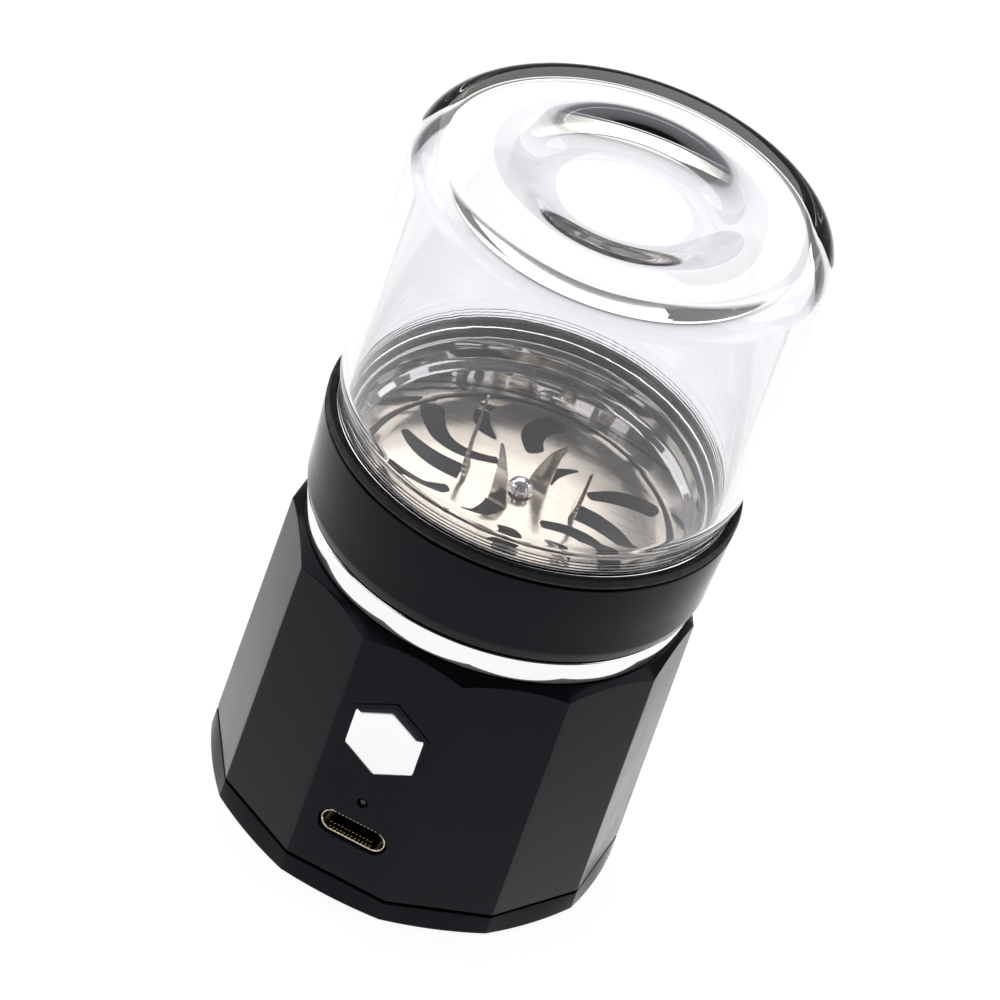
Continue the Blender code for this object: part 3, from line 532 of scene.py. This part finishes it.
def make_jar():
    """Thick clear glass: a dished closed end, a round shoulder, a neck with fine ridges, and a bead."""
    wide = reach("glass_jar")
    top = high("glass_jar")
    mouth_level = low("glass_jar")
    seat = high("rim_ring") - 0.5
    bore = 22.95  # inner radius at the mouth
    inside = 23.4  # inner radius of the wall
    inner_end = top - JAR_END
    dish, bulge = 18.5, 20.0  # radii where the outer and inner faces of the end turn flat
    side = rounded(
        [
            (dish, top, 0),
            (wide, top, JAR_SHOULDER),
            (wide, 74.0, 60.0),
            (wide - 0.1, 61.2, 1.5),
            (NECK, 60.3, 0.8),
            *ridges(NECK, seat + 0.7),
            (NECK, seat, 0.2),
            (24.0, seat, 0.35),
            (24.0, 55.7, 0.2),
            (24.4, 55.25, 0.15),
            (24.4, 54.75, 0.15),
            (24.0, 54.3, 0.2),
            (24.0, mouth_level, 0.45),
            (bore, mouth_level, 0.45),
            (bore, 58.4, 3.0),
            (inside, 61.5, 8.0),
            (inside, inner_end, 2.6),
            (bulge, inner_end, 0),
        ],
        closed=False,
        steps=9,
    )
    outer_face = dished(top, JAR_DISH, 7.0, dish)[:-1]
    inner_face = dished(inner_end, JAR_BULGE, 4.0, bulge)[-2::-1]
    profile = [*outer_face, *side, *inner_face]
    jar = mesh_object("jar_of_clear_glass", turned(profile, FINE_ROUND, closed=False))
    piece(jar, GLASS, "clear_glass", "jar", "glass_jar", crease=60)


def make_jar_seat():
    """The seal under the jar's mouth, the soft rim round the jar, the collar and the bright ring."""
    base, top = low("jar_seal"), high("jar_seal")
    seal = rounded([(24.3, top, 0.3), (24.3, base, 0.3), (22.75, base, 0.3), (22.75, top, 0.3)])
    piece(mesh_object("jar_seal_ring", turned(seal)), SILICONE, "clear_silicone", "seal", "jar_seal")
    make_rim()
    make_collar()
    base, top = low("chrome_ring"), high("chrome_ring")
    ring = rounded([(25.1, top, 0.25), (24.4, base, 0.2), (23.5, base, 0.1), (23.5, top, 0.1)])
    piece(mesh_object("bright_ring", turned(ring)), CHROME, "bright_chrome", "base", "chrome_ring")


def make_rim():
    """Soft grained ring with a broad upstand that the jar's neck stands in."""
    wide = reach("rim_ring")
    base, top = low("rim_ring"), high("rim_ring")
    lip = 24.8  # inner radius of the thin lip under the jar's neck
    inner = NECK + 0.2
    corners = [
        (wide - 0.22, top, 0.14),
        (wide, base + 0.35, 0.5),
        (wide - 0.06, base, 0.1),
        (lip, base, 0.05),
        (lip, base + 0.3, 0.05),
        (inner, base + 0.3, 0.05),
        (inner, top, 0.08),
    ]
    piece(mesh_object("soft_rim", turned(rounded(corners))), RUBBER, "black_silicone", "base", "rim_ring")


def make_collar():
    """Polished collar that narrows towards the base, with a bore for the jar's neck and a seal shelf."""
    wide = reach("collar")
    base, top = low("collar"), high("collar")
    shelf = 51.0  # height of the shelf that the seal lies on
    bore, throat = 24.75, 20.6  # inner radii above and below the shelf
    corners = [
        (wide, top, 0.22),
        (wide - 0.5, 48.5, 30.0),
        (wide - 0.62, 45.6, 2.0),
        (25.2, base, 0.5),
        (throat, base, 0.2),
        (throat, shelf - 0.8, 0.5),
        (22.4, shelf, 0.2),
        (bore, shelf, 0.2),
        (bore, top, 0.3),
    ]
    collar = mesh_object("polished_collar", turned(rounded(corners)))
    distance, angles = COLLAR_SCREWS
    holes = [placed(bar(1.0, 7.0), (*on_circle(distance, angle), base - 1)) for angle in angles]
    combine(collar, holes, "DIFFERENCE")
    piece(collar, GLOSS, "gloss_black_plastic", "base", "collar")


# ---------------------------------------------------------------- cup and blade


def make_cup():
    """Drawn cup of thin sheet: two soft steps down the wall and a flat floor with a hole for the bush."""
    lip, base = high("steel_cup"), low("steel_cup")
    hole = 3.2
    sheet = 0.5
    corners = [
        (22.6, lip, 0.25),
        (22.1, 55.4, 1.0),
        (21.9, 53.8, 0.8),
        (20.9, 53.0, 0.8),
        (19.9, 49.8, 2.0),
        (19.9, 47.4, 1.2),
        (18.9, base, 1.2),
        (hole, base, 0.1),
        (hole, base + sheet, 0.1),
        (18.7, base + sheet, 1.0),
        (19.4, 47.6, 1.0),
        (19.4, 50.0, 2.0),
        (20.4, 53.3, 0.8),
        (21.4, 54.1, 0.8),
        (21.6, 55.6, 1.0),
        (22.0, lip, 0.25),
    ]
    cup = mesh_object("drawn_cup", turned(rounded(corners), FINE_ROUND))
    piece(cup, CUP_STEEL, "polished_steel", "base", "steel_cup", crease=50)


# One of each opposite pair of openings in the blade: inner end, the point that the middle line bends
# towards, outer end, widths at the inner end, the middle and the outer end, and the fin, if any:
# the end that it is folded up at, its height, how far its tip curls back, and the direction that its
# face looks in, in degrees.
OPENINGS = (
    ((-4.9, 3.8), (-12.0, -0.2), (-15.6, 8.2), (1.5, 2.4, 3.2), None),
    ((-7.3, -1.6), (-12.2, -2.2), (-16.2, 1.2), (3.4, 2.9, 1.2), ("inner", 9.0, 0.0, 191.3)),
    ((-7.4, -6.0), (-11.1, -9.7), (-14.6, -9.3), (1.6, 3.0, 3.0), None),
    ((-1.35, -4.3), (-1.6, -7.3), (-4.1, -9.6), (2.8, 1.8, 0.5), ("inner", 7.2, 1.5, 262.0)),
    ((-1.9, 9.4), (-4.6, 12.8), (-1.6, 16.4), (2.6, 3.2, 3.2), None),
    ((-6.8, 8.0), (-9.75, 8.8), (-10.3, 12.1), (0.5, 2.1, 1.8), ("outer", 3.0, 0.2, 262.0)),
)
BLADE_CROWN = 0.45  # how far the rim of the disc lies below its middle


def width_at(widths, t):
    """The width of an opening at a fraction of its length."""
    near, halfway, far = widths
    return near + (4 * halfway - 3 * near - far) * t + (2 * near + 2 * far - 4 * halfway) * t**2


def opening_outline(start, bend, end, widths, round_ends, count=18):
    """The outline of a curved opening; each end, inner and outer, is round or straight."""
    start, bend, end = Vector(start), Vector(bend), Vector(end)
    left, right = [], []
    for step in range(count + 1):
        t = step / count
        centre = start.lerp(bend, t).lerp(bend.lerp(end, t), t)
        along = (bend - start).lerp(end - bend, t).normalized()
        across = Vector((-along.y, along.x)) * width_at(widths, t) / 2
        left.append(centre + across)
        right.append(centre - across)
    tip = end_cap(left[-1], right[-1], (end - bend).normalized()) if round_ends[1] else []
    root = end_cap(right[0], left[0], (start - bend).normalized()) if round_ends[0] else []
    return [*left, *tip, *reversed(right), *root]


def end_cap(first, last, outward, steps=8):
    """Points of a half ellipse that closes an opening's end."""
    centre = (first + last) / 2
    side = first - centre
    points = []
    for step in range(1, steps):
        angle = math.pi * step / steps
        points.append(centre + side * math.cos(angle) + outward * side.length * 0.6 * math.sin(angle))
    return points


def fin(start, bend, end, widths, height, curl, facing, thickness):
    """A tongue folded up out of the sheet: it curves as its opening does, and its edges are toothed."""
    steps = 36
    start, bend, end = Vector(start), Vector(bend), Vector(end)
    tongue = (bend - start).normalized()
    aside = Vector((-tongue.y, tongue.x))
    along = Vector((math.cos(math.radians(facing)), math.sin(math.radians(facing))))
    across = Vector((-along.y, along.x))
    rows = []
    for step in range(steps + 1):
        t = step / steps
        shift = (start.lerp(bend, t).lerp(bend.lerp(end, t), t) - start).dot(aside)
        # The last eighth rounds off towards the tip, and every third row is a notch between teeth.
        tip = math.sqrt(max(0.0, 1 - max(0.0, (t - 0.88) / 0.12) ** 2))
        notch = 0.11 if step % 3 == 1 and 3 < step < steps - 3 else 0.0
        half = max(width_at(widths, t) * 0.47 * max(tip, 0.25) - notch, 0.1)
        # The foot sweeps out of the sheet in a tight bend, and its first row is sunk into it.
        lean = -0.5 * (1 - t) ** 6 - curl * t**2
        rise = height * t - (0.35 if step == 0 else 0.0)
        tilt = math.atan2(2 * curl * t, height)
        sheet = thickness * (1 - 0.45 * t)
        outline = []
        for side, back in ((1, 0), (-1, 0), (-1, 1), (1, 1)):
            offset = 0.16 + lean - back * sheet * math.cos(tilt)
            flat = start + across * (shift + side * half) + along * offset
            outline.append((*flat, rise - back * sheet * math.sin(tilt)))
        rows.append(outline)
    return lofted(rows)


def make_blade():
    """Stamped, slightly crowned disc with twelve curved openings and six fins, its outer rim rounded."""
    base = low("blade_disc")
    sheet = 0.6
    top = base + sheet
    wide = reach("blade_disc")
    hole = 1.1
    steps = 12
    radii = [hole + (wide - 0.2 - hole) * step / steps for step in range(steps + 1)]
    upper = [(r, top - BLADE_CROWN * (r / wide) ** 2) for r in radii]
    lower = [(r, z - sheet) for r, z in reversed(upper)]
    rim = upper[-1][1] - sheet / 2
    edge = [(wide - 0.06, rim + 0.2), (wide, rim), (wide - 0.06, rim - 0.2)]
    disc = mesh_object("stamped_blade", turned([*upper, *edge, *lower]))
    cutters, fins = [], []
    for turn in (0, 180):
        for start, bend, end, widths, folded in OPENINGS:
            fold = folded[0] if folded else None
            outline = opening_outline(start, bend, end, widths, (fold != "inner", fold != "outer"))
            cutters.append(placed(prism(outline, 3.0), (0, 0, base - 1.2), turn=turn))
            if not folded:
                continue
            height, curl, facing = folded[1:]
            root, tip, sizes = start, end, widths
            if fold == "outer":
                root, tip, sizes = end, start, (widths[2], widths[1], 1.0)
            foot = top - BLADE_CROWN * (Vector(root).length / wide) ** 2
            blade = fin(root, bend, tip, sizes, height, curl, facing, sheet)
            fins.append(placed(blade, (0, 0, foot), turn=turn))
    combine(disc, cutters, "DIFFERENCE")
    combine(disc, fins, "UNION")
    piece(disc, BLADE_STEEL, "warm_polished_steel", "rotor", "blade_disc", crease=35)


def make_hub_screw():
    """Domed screw head with fine ribs up its side, on its shank."""
    base, top = low("hub_screw"), high("hub_screw")
    head = top - 1.5  # underside of the head
    shank = 0.7
    ribs = 14
    steps = ribs * 8
    columns = []
    for step in range(steps):
        angle = math.tau * step / steps
        wave = 1 - 0.045 * (0.5 - 0.5 * math.cos(ribs * angle))
        profile = [(0, top), (0.55, top - 0.02), (0.95, top - 0.16), (1.3 * wave, top - 0.42)]
        profile += [(1.55 * wave, top - 0.8), (1.65 * wave, top - 1.15), (1.6 * wave, head)]
        profile += [(shank, head), (shank, base), (0, base)]
        columns.append([(r * math.cos(angle), r * math.sin(angle), z) for r, z in profile])
    screw = mesh_object("ridged_hub_screw", skin(columns, closed=False))
    piece(screw, CHROME, "bright_chrome", "rotor", "hub_screw", crease=50)


def make_blade_mount():
    """The brass hub under the blade, the bush that the shaft runs in, and the seal between them."""
    bore = 1.8
    neck = 2.9  # outer radius of the hub's and the bush's narrow ends
    base, top = low("blade_hub"), high("blade_hub")
    corners = [(4.0, top, 0.15), (4.0, top - 0.6, 0.15), (neck, base, 0.1)]
    corners += [(bore, base, 0.05), (bore, top, 0.05)]
    hub = turned(rounded(corners), MEDIUM_ROUND)
    piece(mesh_object("turned_hub", hub), BRASS, "brass", "rotor", "blade_hub")
    base, top = low("bearing_bush"), high("bearing_bush")
    flange = 47.2  # underside of the bush's flange
    corners = [(4.3, top, 0.1), (4.3, flange, 0.1), (neck, flange, 0.05)]
    corners += [(neck, base, 0.1), (bore, base, 0.05), (bore, top, 0.05)]
    bush = turned(rounded(corners), MEDIUM_ROUND)
    piece(mesh_object("turned_bush", bush), BRASS, "brass", "base", "bearing_bush")
    base, top = low("shaft_seal"), high("shaft_seal")
    corners = [(3.3, top, 0.12), (3.3, base, 0.12), (bore, base, 0.1), (bore, top, 0.1)]
    lip = turned(rounded(corners), MEDIUM_ROUND)
    piece(mesh_object("lip_seal", lip), RUBBER, "black_silicone", "base", "shaft_seal")


# ---------------------------------------------------------------- base


def facet_columns():
    """(angle, share of the corner radius) round the twelve sides, with softly rounded corners."""
    flat_steps, corner_steps = 12, 5
    corner = 0.014  # corner rounding as a share of the corner radius
    centre = 1 - corner / math.cos(HALF_FACET)
    columns = []
    for side in range(SIDES):
        middle_angle = -math.pi / 2 + side * 2 * HALF_FACET
        edge = Vector((centre + corner * math.cos(HALF_FACET), corner * math.sin(HALF_FACET)))
        edge_angle = HALF_FACET - math.atan2(edge.y, edge.x)
        for step in range(flat_steps + 1):
            angle = -edge_angle + 2 * edge_angle * step / flat_steps
            columns.append((middle_angle + angle, math.cos(HALF_FACET) / math.cos(angle)))
        for step in range(1, corner_steps):
            turn = -HALF_FACET + 2 * HALF_FACET * step / corner_steps
            point = Vector((centre + corner * math.cos(turn), corner * math.sin(turn)))
            columns.append((middle_angle + HALF_FACET + math.atan2(point.y, point.x), point.length))
    return columns


def corner_radius(height):
    """The base's corner radius at a height."""
    return CORNER_RADIUS + (SHOULDER_Z - height) * FACET_FLARE


def faceted(profile_at, closed):
    """A twelve-sided shape from a profile that depends on the share of the corner radius, 1 at a corner."""
    columns = []
    for angle, share in facet_columns():
        points = profile_at(share)
        columns.append([(r * math.cos(angle), r * math.sin(angle), z) for r, z in points])
    return skin(columns, closed)


def housing_profile(share):
    """From the shoulder's upper edge down the facet and up inside, then round the collar's spigot."""
    base = low("base_housing")
    crest = SHOULDER_Z + CORNER_RADIUS * (1 - share) / (1 / SHOULDER_SLOPE - FACET_FLARE * share)
    inset = WALL / math.cos(HALF_FACET)
    roof = 36.6  # underside of the deck
    opening = 15.0  # radius of the hole in the deck, which the motor goes through
    spigot_inner, spigot_outer = 20.0, 23.1
    spigot_top = high("plate_screw_1") - 2.5
    return rounded(
        [
            (24.44, DECK_Z, 0.25),
            (share * corner_radius(crest), crest, 0.3),
            (share * corner_radius(base), base, 0.12),
            (share * (corner_radius(base) - inset), base, 0.1),
            (share * (corner_radius(roof) - inset), roof, 0.6),
            (opening, roof, 0.2),
            (opening, DECK_Z, 0.2),
            (spigot_inner, DECK_Z, 0.1),
            (spigot_inner, spigot_top, 0.2),
            (spigot_outer, spigot_top, 0.2),
            (spigot_outer, DECK_Z, 0.1),
        ],
        steps=4,
    )


def make_housing():
    """Twelve-sided shell with a conical shoulder, its screw posts, and the openings in its front facet."""
    housing = mesh_object("faceted_housing", faceted(housing_profile, closed=True))
    post, hole = 2.3, 1.2  # radii
    posts, holes = [], []
    for distance, angles, face, length, direction in (
        (*COVER_SCREWS, 3.5, 4.3, 1),
        (*PLATE_SCREWS, 44.1, 6.5, -1),
    ):
        for angle in angles:
            x, y = on_circle(distance, angle)
            posts.append(placed(bar(post, length), (x, y, face), (0, 0, direction)))
            holes.append(placed(bar(hole, 4.6), (x, y, face - direction), (0, 0, direction)))
    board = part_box("circuit_board")[0].y / MM - 0.3
    for x, z in BOARD_SCREWS:
        length = -front_facet(z) - 1.3 + board
        posts.append(placed(bar(post, length), (x, board, z), (0, -1, 0)))
        holes.append(placed(bar(hole, 5.5), (x, board + 1, z), (0, -1, 0)))
    distance, angles = COLLAR_SCREWS
    for angle in angles:
        holes.append(placed(bar(1.0, 10.0), (*on_circle(distance, angle), 35.0)))
    openings, mouths = front_openings()
    combine(housing, posts, "UNION")
    combine(housing, holes + openings, "DIFFERENCE")
    combine(housing, mouths, "DIFFERENCE")
    piece(housing, SATIN, "satin_black_plastic", "base", "base_housing")


def front_facet(height):
    """The front facet's Y at a height."""
    return -corner_radius(height) * math.cos(HALF_FACET)


def front_openings():
    """Cutters for the button, the light and the charging port, and wider ones for their slanted mouths."""
    hexagon = rounded([(*point, 0.3) for point in circle(BUTTON_RADIUS + 0.35, 6, math.pi / 2)], steps=3)
    port = slot_shape(*(half + 0.23 for half in PORT_HALVES))
    openings, mouths = [], []
    for node, outline, growth in (
        ("power_button", hexagon, 1.035),
        ("light_pipe", circle(0.6, SMALL_ROUND), 1.3),
        ("port_shell", port, 1.03),
    ):
        height = middle(node).z
        face = front_facet(height)
        openings.append(placed(prism(outline, 8.0), (0, face - 2, height), (0, 1, 0)))
        mouths.append(placed(mouth(outline, growth, 0.3), (0, face - 0.06, height), (0, 1, 0)))
    return openings, mouths


def mouth(outline, growth, depth):
    """A shallow cutter that is wider at its foot, for a slanted edge round an opening.

    Its far end is a little smaller than the opening, so that no wall of the two cuts coincides.
    """
    wide = [(x * growth, y * growth) for x, y in outline]
    return prism(wide, depth, 0.97 / growth)


def make_bottom():
    """Bottom cover with a recess for its foot pad, the pad, and the screws sunk in the cover."""
    top, base = high("bottom_cover"), low("bottom_cover")
    recess, recess_top = 19.3, 0.95

    def profile_at(share):
        """The cover's section, whose lower edge is blended from twelve-sided towards round."""
        edge = share * corner_radius(top)
        low_share = share + (1 - share) * COVER_ROUNDNESS
        low_edge = low_share * corner_radius(base)
        return rounded(
            [
                (0, top, 0),
                (edge, top, 0.15),
                (low_edge, base, 0.3),
                (recess, base, 0.15),
                (recess, recess_top, 0.1),
                (0, recess_top, 0),
            ],
            closed=False,
        )

    cover = mesh_object("bottom_plate", faceted(profile_at, closed=False))
    distance, angles = COVER_SCREWS
    spots = [on_circle(distance, angle) for angle in angles]
    for radius, length, foot in ((2.1, 2.7, -1), (1.2, 3.0, 1.0)):
        combine(cover, [placed(bar(radius, length), (*spot, foot)) for spot in spots], "DIFFERENCE")
    piece(cover, SATIN, "satin_black_plastic", "base", "bottom_cover")
    make_foot()
    for number, spot in enumerate(spots, 1):
        make_cover_screw(number, spot)


def make_foot():
    """Soft foot pad with concentric ribs."""
    wide = reach("foot_pad")
    top = high("foot_pad")
    grooves, pitch, depth = 5, 2.6, 0.25
    corners = [(wide, top, 0.1), (wide, 0.0, 0.3)]
    for index in range(grooves):
        outer = wide - 1.6 - index * pitch
        for inset, height in ((0.0, 0.0), (0.3, depth), (0.9, depth), (1.2, 0.0)):
            corners.append((outer - inset, height, 0.1))
    corners += [(4.0, 0.0, 0.3), (4.0, top, 0.1)]
    pad = mesh_object("ribbed_foot_pad", turned(rounded(corners, steps=3)))
    piece(pad, RUBBER, "black_silicone", "base", "foot_pad")


def make_cover_screw(number, spot):
    """Pan-head screw with a cross recess, pointing up."""
    node = f"cover_screw_{number}"
    seat = 1.65  # height of the head's flat side
    length = high(node) - seat
    head, shank = 1.7, 0.7
    corners = [
        (0, 1.2, 0),
        (1.0, 1.15, 0.8),
        (head, 0.75, 0.5),
        (head, 0, 0.1),
        (shank, 0, 0.05),
        (shank, 0.3 - length, 0.1),
        (0, -length, 0),
    ]
    body = turned(rounded(corners, closed=False), SMALL_ROUND, closed=False)
    screw = mesh_object(f"pan_head_screw_{number}", body)
    half = [(0.95, 0.14), (0.95, -0.14), (0.3, -0.2), (-0.3, -0.2)]
    arm = half + [(-x, -y) for x, y in half]
    # The second arm is a hair shallower, so that the two cuts share no plane.
    for turn, floor in ((0, 0.55), (90, 0.559)):
        combine(screw, [placed(prism(arm, 1.0, 0.75), (0, 0, floor), turn=turn)], "DIFFERENCE")
    shift = Matrix.Translation(Vector((*spot, seat)) * MM)
    screw.data.transform(shift @ Matrix.Rotation(math.pi, 4, "X"))
    piece(screw, SCREW_ZINC, "zinc_screw", "base", node)


# ---------------------------------------------------------------- button and port


def make_button():
    """Six-sided chrome button: a domed face, and behind the facet a flange and a stem."""
    lowest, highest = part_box("power_button")
    face, back = lowest.y / MM, highest.y / MM
    height = middle("power_button").z

    def outline_at(radius, depth):
        """The outline of a corner radius, at a depth behind the face. Smaller ones are rounder."""
        corner = radius * (0.08 + 0.75 * (1 - radius / BUTTON_RADIUS))
        outline = rounded([(*point, corner) for point in circle(radius, 6, math.pi / 2)], steps=5)
        return [(x, face + depth, height + y) for x, y in outline]

    rows = [outline_at(BUTTON_RADIUS, 3.5)]
    for inset in (0, 0.03, 0.1, 0.22, 0.4, 0.65, 1.0, 1.5, 2.2, 3.1, 4.3):
        radius = BUTTON_RADIUS - inset
        rows.append(outline_at(radius, 0.7 * (radius / BUTTON_RADIUS) ** 5))
    button = mesh_object("chrome_button", lofted(rows))
    flange_y, stem_y = -22.8, -22.5
    flange = placed(prism(circle(6.6, 6, math.pi / 2), 0.8), (0, flange_y, height), (0, 1, 0))
    stem = placed(bar(1.6, back - stem_y), (0, stem_y, height), (0, 1, 0))
    combine(button, [flange], "UNION")
    combine(button, [stem], "UNION")
    piece(button, CHROME, "bright_chrome", "button", "power_button", crease=24)


def make_port():
    """Charging receptacle: a rolled metal shell, and in it the tongue with its gold contacts."""
    lowest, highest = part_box("port_shell")
    face, back = lowest.y / MM, highest.y / MM
    height = middle("port_shell").z
    length = back - face
    sheet = 0.3
    rows = []
    # From the floor inside, out to the rolled edge and back along the outside: inset and depth.
    for inset, depth in (
        (sheet, length - 0.6),
        (sheet, 0.5),
        (sheet, 0.12),
        (0.23, 0.03),
        (0.14, 0.0),
        (0.07, 0.03),
        (0.0, 0.12),
        (0.0, length),
    ):
        outline = slot_shape(*(half - inset for half in PORT_HALVES), 16)
        rows.append([(x, face + depth, height + y) for x, y in outline])
    shell = mesh_object("port_shell_rolled", lofted(rows))
    piece(shell, PORT_STEEL, "bright_chrome", "base", "port_shell")
    make_tongue(height)


def make_tongue(height):
    """The tongue, and twelve contacts above and twelve below it."""
    lowest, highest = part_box("port_tongue")
    face, back = lowest.y / MM, highest.y / MM
    half_width = highest.x / MM
    outline = rounded(
        [
            (-half_width, face, 0.5),
            (half_width, face, 0.5),
            (half_width, back, 0.1),
            (-half_width, back, 0.1),
        ]
    )
    half_thick = 0.32
    body = placed(prism(outline, 2 * half_thick), (0, 0, height - half_thick))
    piece(mesh_object("port_tongue_body", body), DARK, "dark_plastic", "base", "port_tongue")
    count, pitch = 12, 0.5
    half, length, thick = 0.12, 3.0, 0.03  # of one contact
    pad = rounded([(-half, 0, 0.1), (half, 0, 0.1), (half, length, 0), (-half, length, 0)], steps=3)
    contacts = []
    for number in range(count):
        x = (number - (count - 1) / 2) * pitch
        for level in (height - half_thick - thick, height + half_thick):
            contacts.append(placed(prism(pad, thick), (x, face + 1.2, level)))
    pads = mesh_object("port_contacts", joined(contacts))
    pads.data.materials.append(GOLD)
    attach(pads, "base")


def make_light():
    """Light pipe behind its small round hole, with a rounded tip."""
    lowest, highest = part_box("light_pipe")
    back = highest.y / MM
    length = back - lowest.y / MM
    radius = 0.45
    corners = [(0, length, 0), (radius, length, 0.2), (radius, 0, 0.1), (0, 0, 0)]
    pipe = turned(rounded(corners, closed=False), SMALL_ROUND, closed=False)
    placed(pipe, (0, back, middle("light_pipe").z), (0, -1, 0))
    piece(mesh_object("light_pipe_tip", pipe), LENS, "clear_plastic", "base", "light_pipe")


# ---------------------------------------------------------------- inner pieces carried over


CARRIED = {
    "polished_steel": BRUSHED,
    "brushed_steel": BRUSHED,
    "zinc_screw": SCREW_ZINC,
    "copper": COPPER,
    "lacquered_iron": IRON,
    "ferrite": FERRITE,
    "white_plastic": WHITE,
    "dark_plastic": DARK,
    "circuit_laminate": BOARD,
    "battery_foil": FOIL,
    "red_insulation": RED,
    "black_insulation": BLACK,
}


def finish_inner_pieces():
    """Gives each CAD node that still shows the procedural material of its slot."""
    slots = {part["node"]: part["material_slot"] for part in frame["record"]["subparts"]}
    for name, node in frame["nodes"].items():
        if not node.hide_render:
            node.data.materials.clear()
            node.data.materials.append(CARRIED[slots[name]])


# ---------------------------------------------------------------- stage, lights and camera


def make_floor():
    """Plain pale floor of backlit acrylic, whose glow fades away from the grinder."""
    shape = bmesh.new()
    bmesh.ops.create_grid(shape, x_segments=1, y_segments=1, size=12.0)
    floor = mesh_object("floor", shape)
    finish = Finish("pale_acrylic_floor", Specular_IOR_Level=0.2)
    finish.put("Emission Color", finish.blend(finish.noise(6.0), (0.99, 0.99, 1.0), (1.0, 1.0, 1.0)))
    length = finish.add("ShaderNodeVectorMath", {"Vector": finish.place}, operation="LENGTH")
    glow = finish.remap(length.outputs["Value"], FLOOR_GLOW, FLOOR_GLOW * 0.25, 0.22, 0.8)
    finish.put("Emission Strength", glow)
    uneven(finish, (0.3, 0.3, 0.302), (0.32, 0.32, 0.322), (0.6, 0.7), 8.0)
    floor.data.materials.append(finish.material)


def make_world():
    """The unlit studio: a soft grey at the back, nearly black towards the front."""
    world = bpy.data.worlds.new("studio")
    bpy.context.scene.world = world
    world.use_nodes = True
    nodes, links = world.node_tree.nodes, world.node_tree.links
    split = nodes.new("ShaderNodeSeparateXYZ")
    links.new(nodes.new("ShaderNodeTexCoord").outputs["Generated"], split.inputs[0])
    share = nodes.new("ShaderNodeMapRange")
    share.interpolation_type = "SMOOTHSTEP"
    share.inputs["From Min"].default_value = -0.6
    share.inputs["From Max"].default_value = 0.6
    links.new(split.outputs["Y"], share.inputs["Value"])
    mix = nodes.new("ShaderNodeMix")
    mix.data_type = "RGBA"
    mix.inputs["A"].default_value = (*ROOM_FRONT, 1.0)
    mix.inputs["B"].default_value = (*ROOM_BACK, 1.0)
    links.new(share.outputs["Result"], mix.inputs["Factor"])
    links.new(mix.outputs["Result"], nodes["Background"].inputs["Color"])


def softbox(name, spot, size, brightness, colour=(1.0, 1.0, 1.0)):
    """A square soft light aimed at the grinder's middle. Its brightness doesn't depend on its size."""
    light = bpy.data.lights.new(name, "AREA")
    light.shape = "SQUARE"
    light.size = size
    light.energy = brightness * math.pi * size**2
    light.color = colour
    lamp = bpy.data.objects.new(name, light)
    bpy.context.scene.collection.objects.link(lamp)
    lamp.location = spot
    aim = Vector((0, 0, 0.05)) - Vector(spot)
    lamp.rotation_euler = aim.to_track_quat("-Z", "Y").to_euler()


def make_camera():
    """Long lens from the front and above, rolled so that the grinder's top leans to the right."""
    spot = Vector((0.1115, -0.5563, 0.4573))
    target = Vector((-0.0018, -0.0004, 0.0473))
    roll = math.radians(19.85)
    back = (spot - target).normalized()
    level = Vector((0, 0, 1)).cross(back).normalized()
    upward = back.cross(level)
    right = level * math.cos(roll) + upward * math.sin(roll)
    up = upward * math.cos(roll) - level * math.sin(roll)
    data = bpy.data.cameras.new("camera")
    data.lens = 206.2
    data.sensor_width = 36.0
    data.clip_start = 0.01
    data.clip_end = 50.0
    camera = bpy.data.objects.new("camera", data)
    bpy.context.scene.collection.objects.link(camera)
    camera.matrix_world = Matrix.Translation(spot) @ Matrix((right, up, back)).transposed().to_4x4()
    bpy.context.scene.camera = camera


make_camera()
make_world()
make_floor()
softbox("left_softbox", (-0.9, 0.1, 0.45), 0.7, 1.3)
softbox("right_softbox", (0.9, 0.25, 0.45), 0.7, 1.3)
softbox("high_softbox", (-0.75, 0.55, 0.9), 0.5, 1.2)
softbox("front_softbox", (-0.75, -0.75, 0.75), 0.6, 1.6)
softbox("back_left_softbox", (-0.38, 0.95, 0.8), 0.6, 1.7, WARM_LIGHT)
softbox("back_right_softbox", (0.5, 0.95, 0.8), 0.6, 1.7, WARM_LIGHT)
bpy.context.scene.view_settings.view_transform = "Standard"

make_jar()
make_jar_seat()
make_cup()
make_blade()
make_hub_screw()
make_blade_mount()
make_housing()
make_bottom()
make_button()
make_port()
make_light()
finish_inner_pieces()
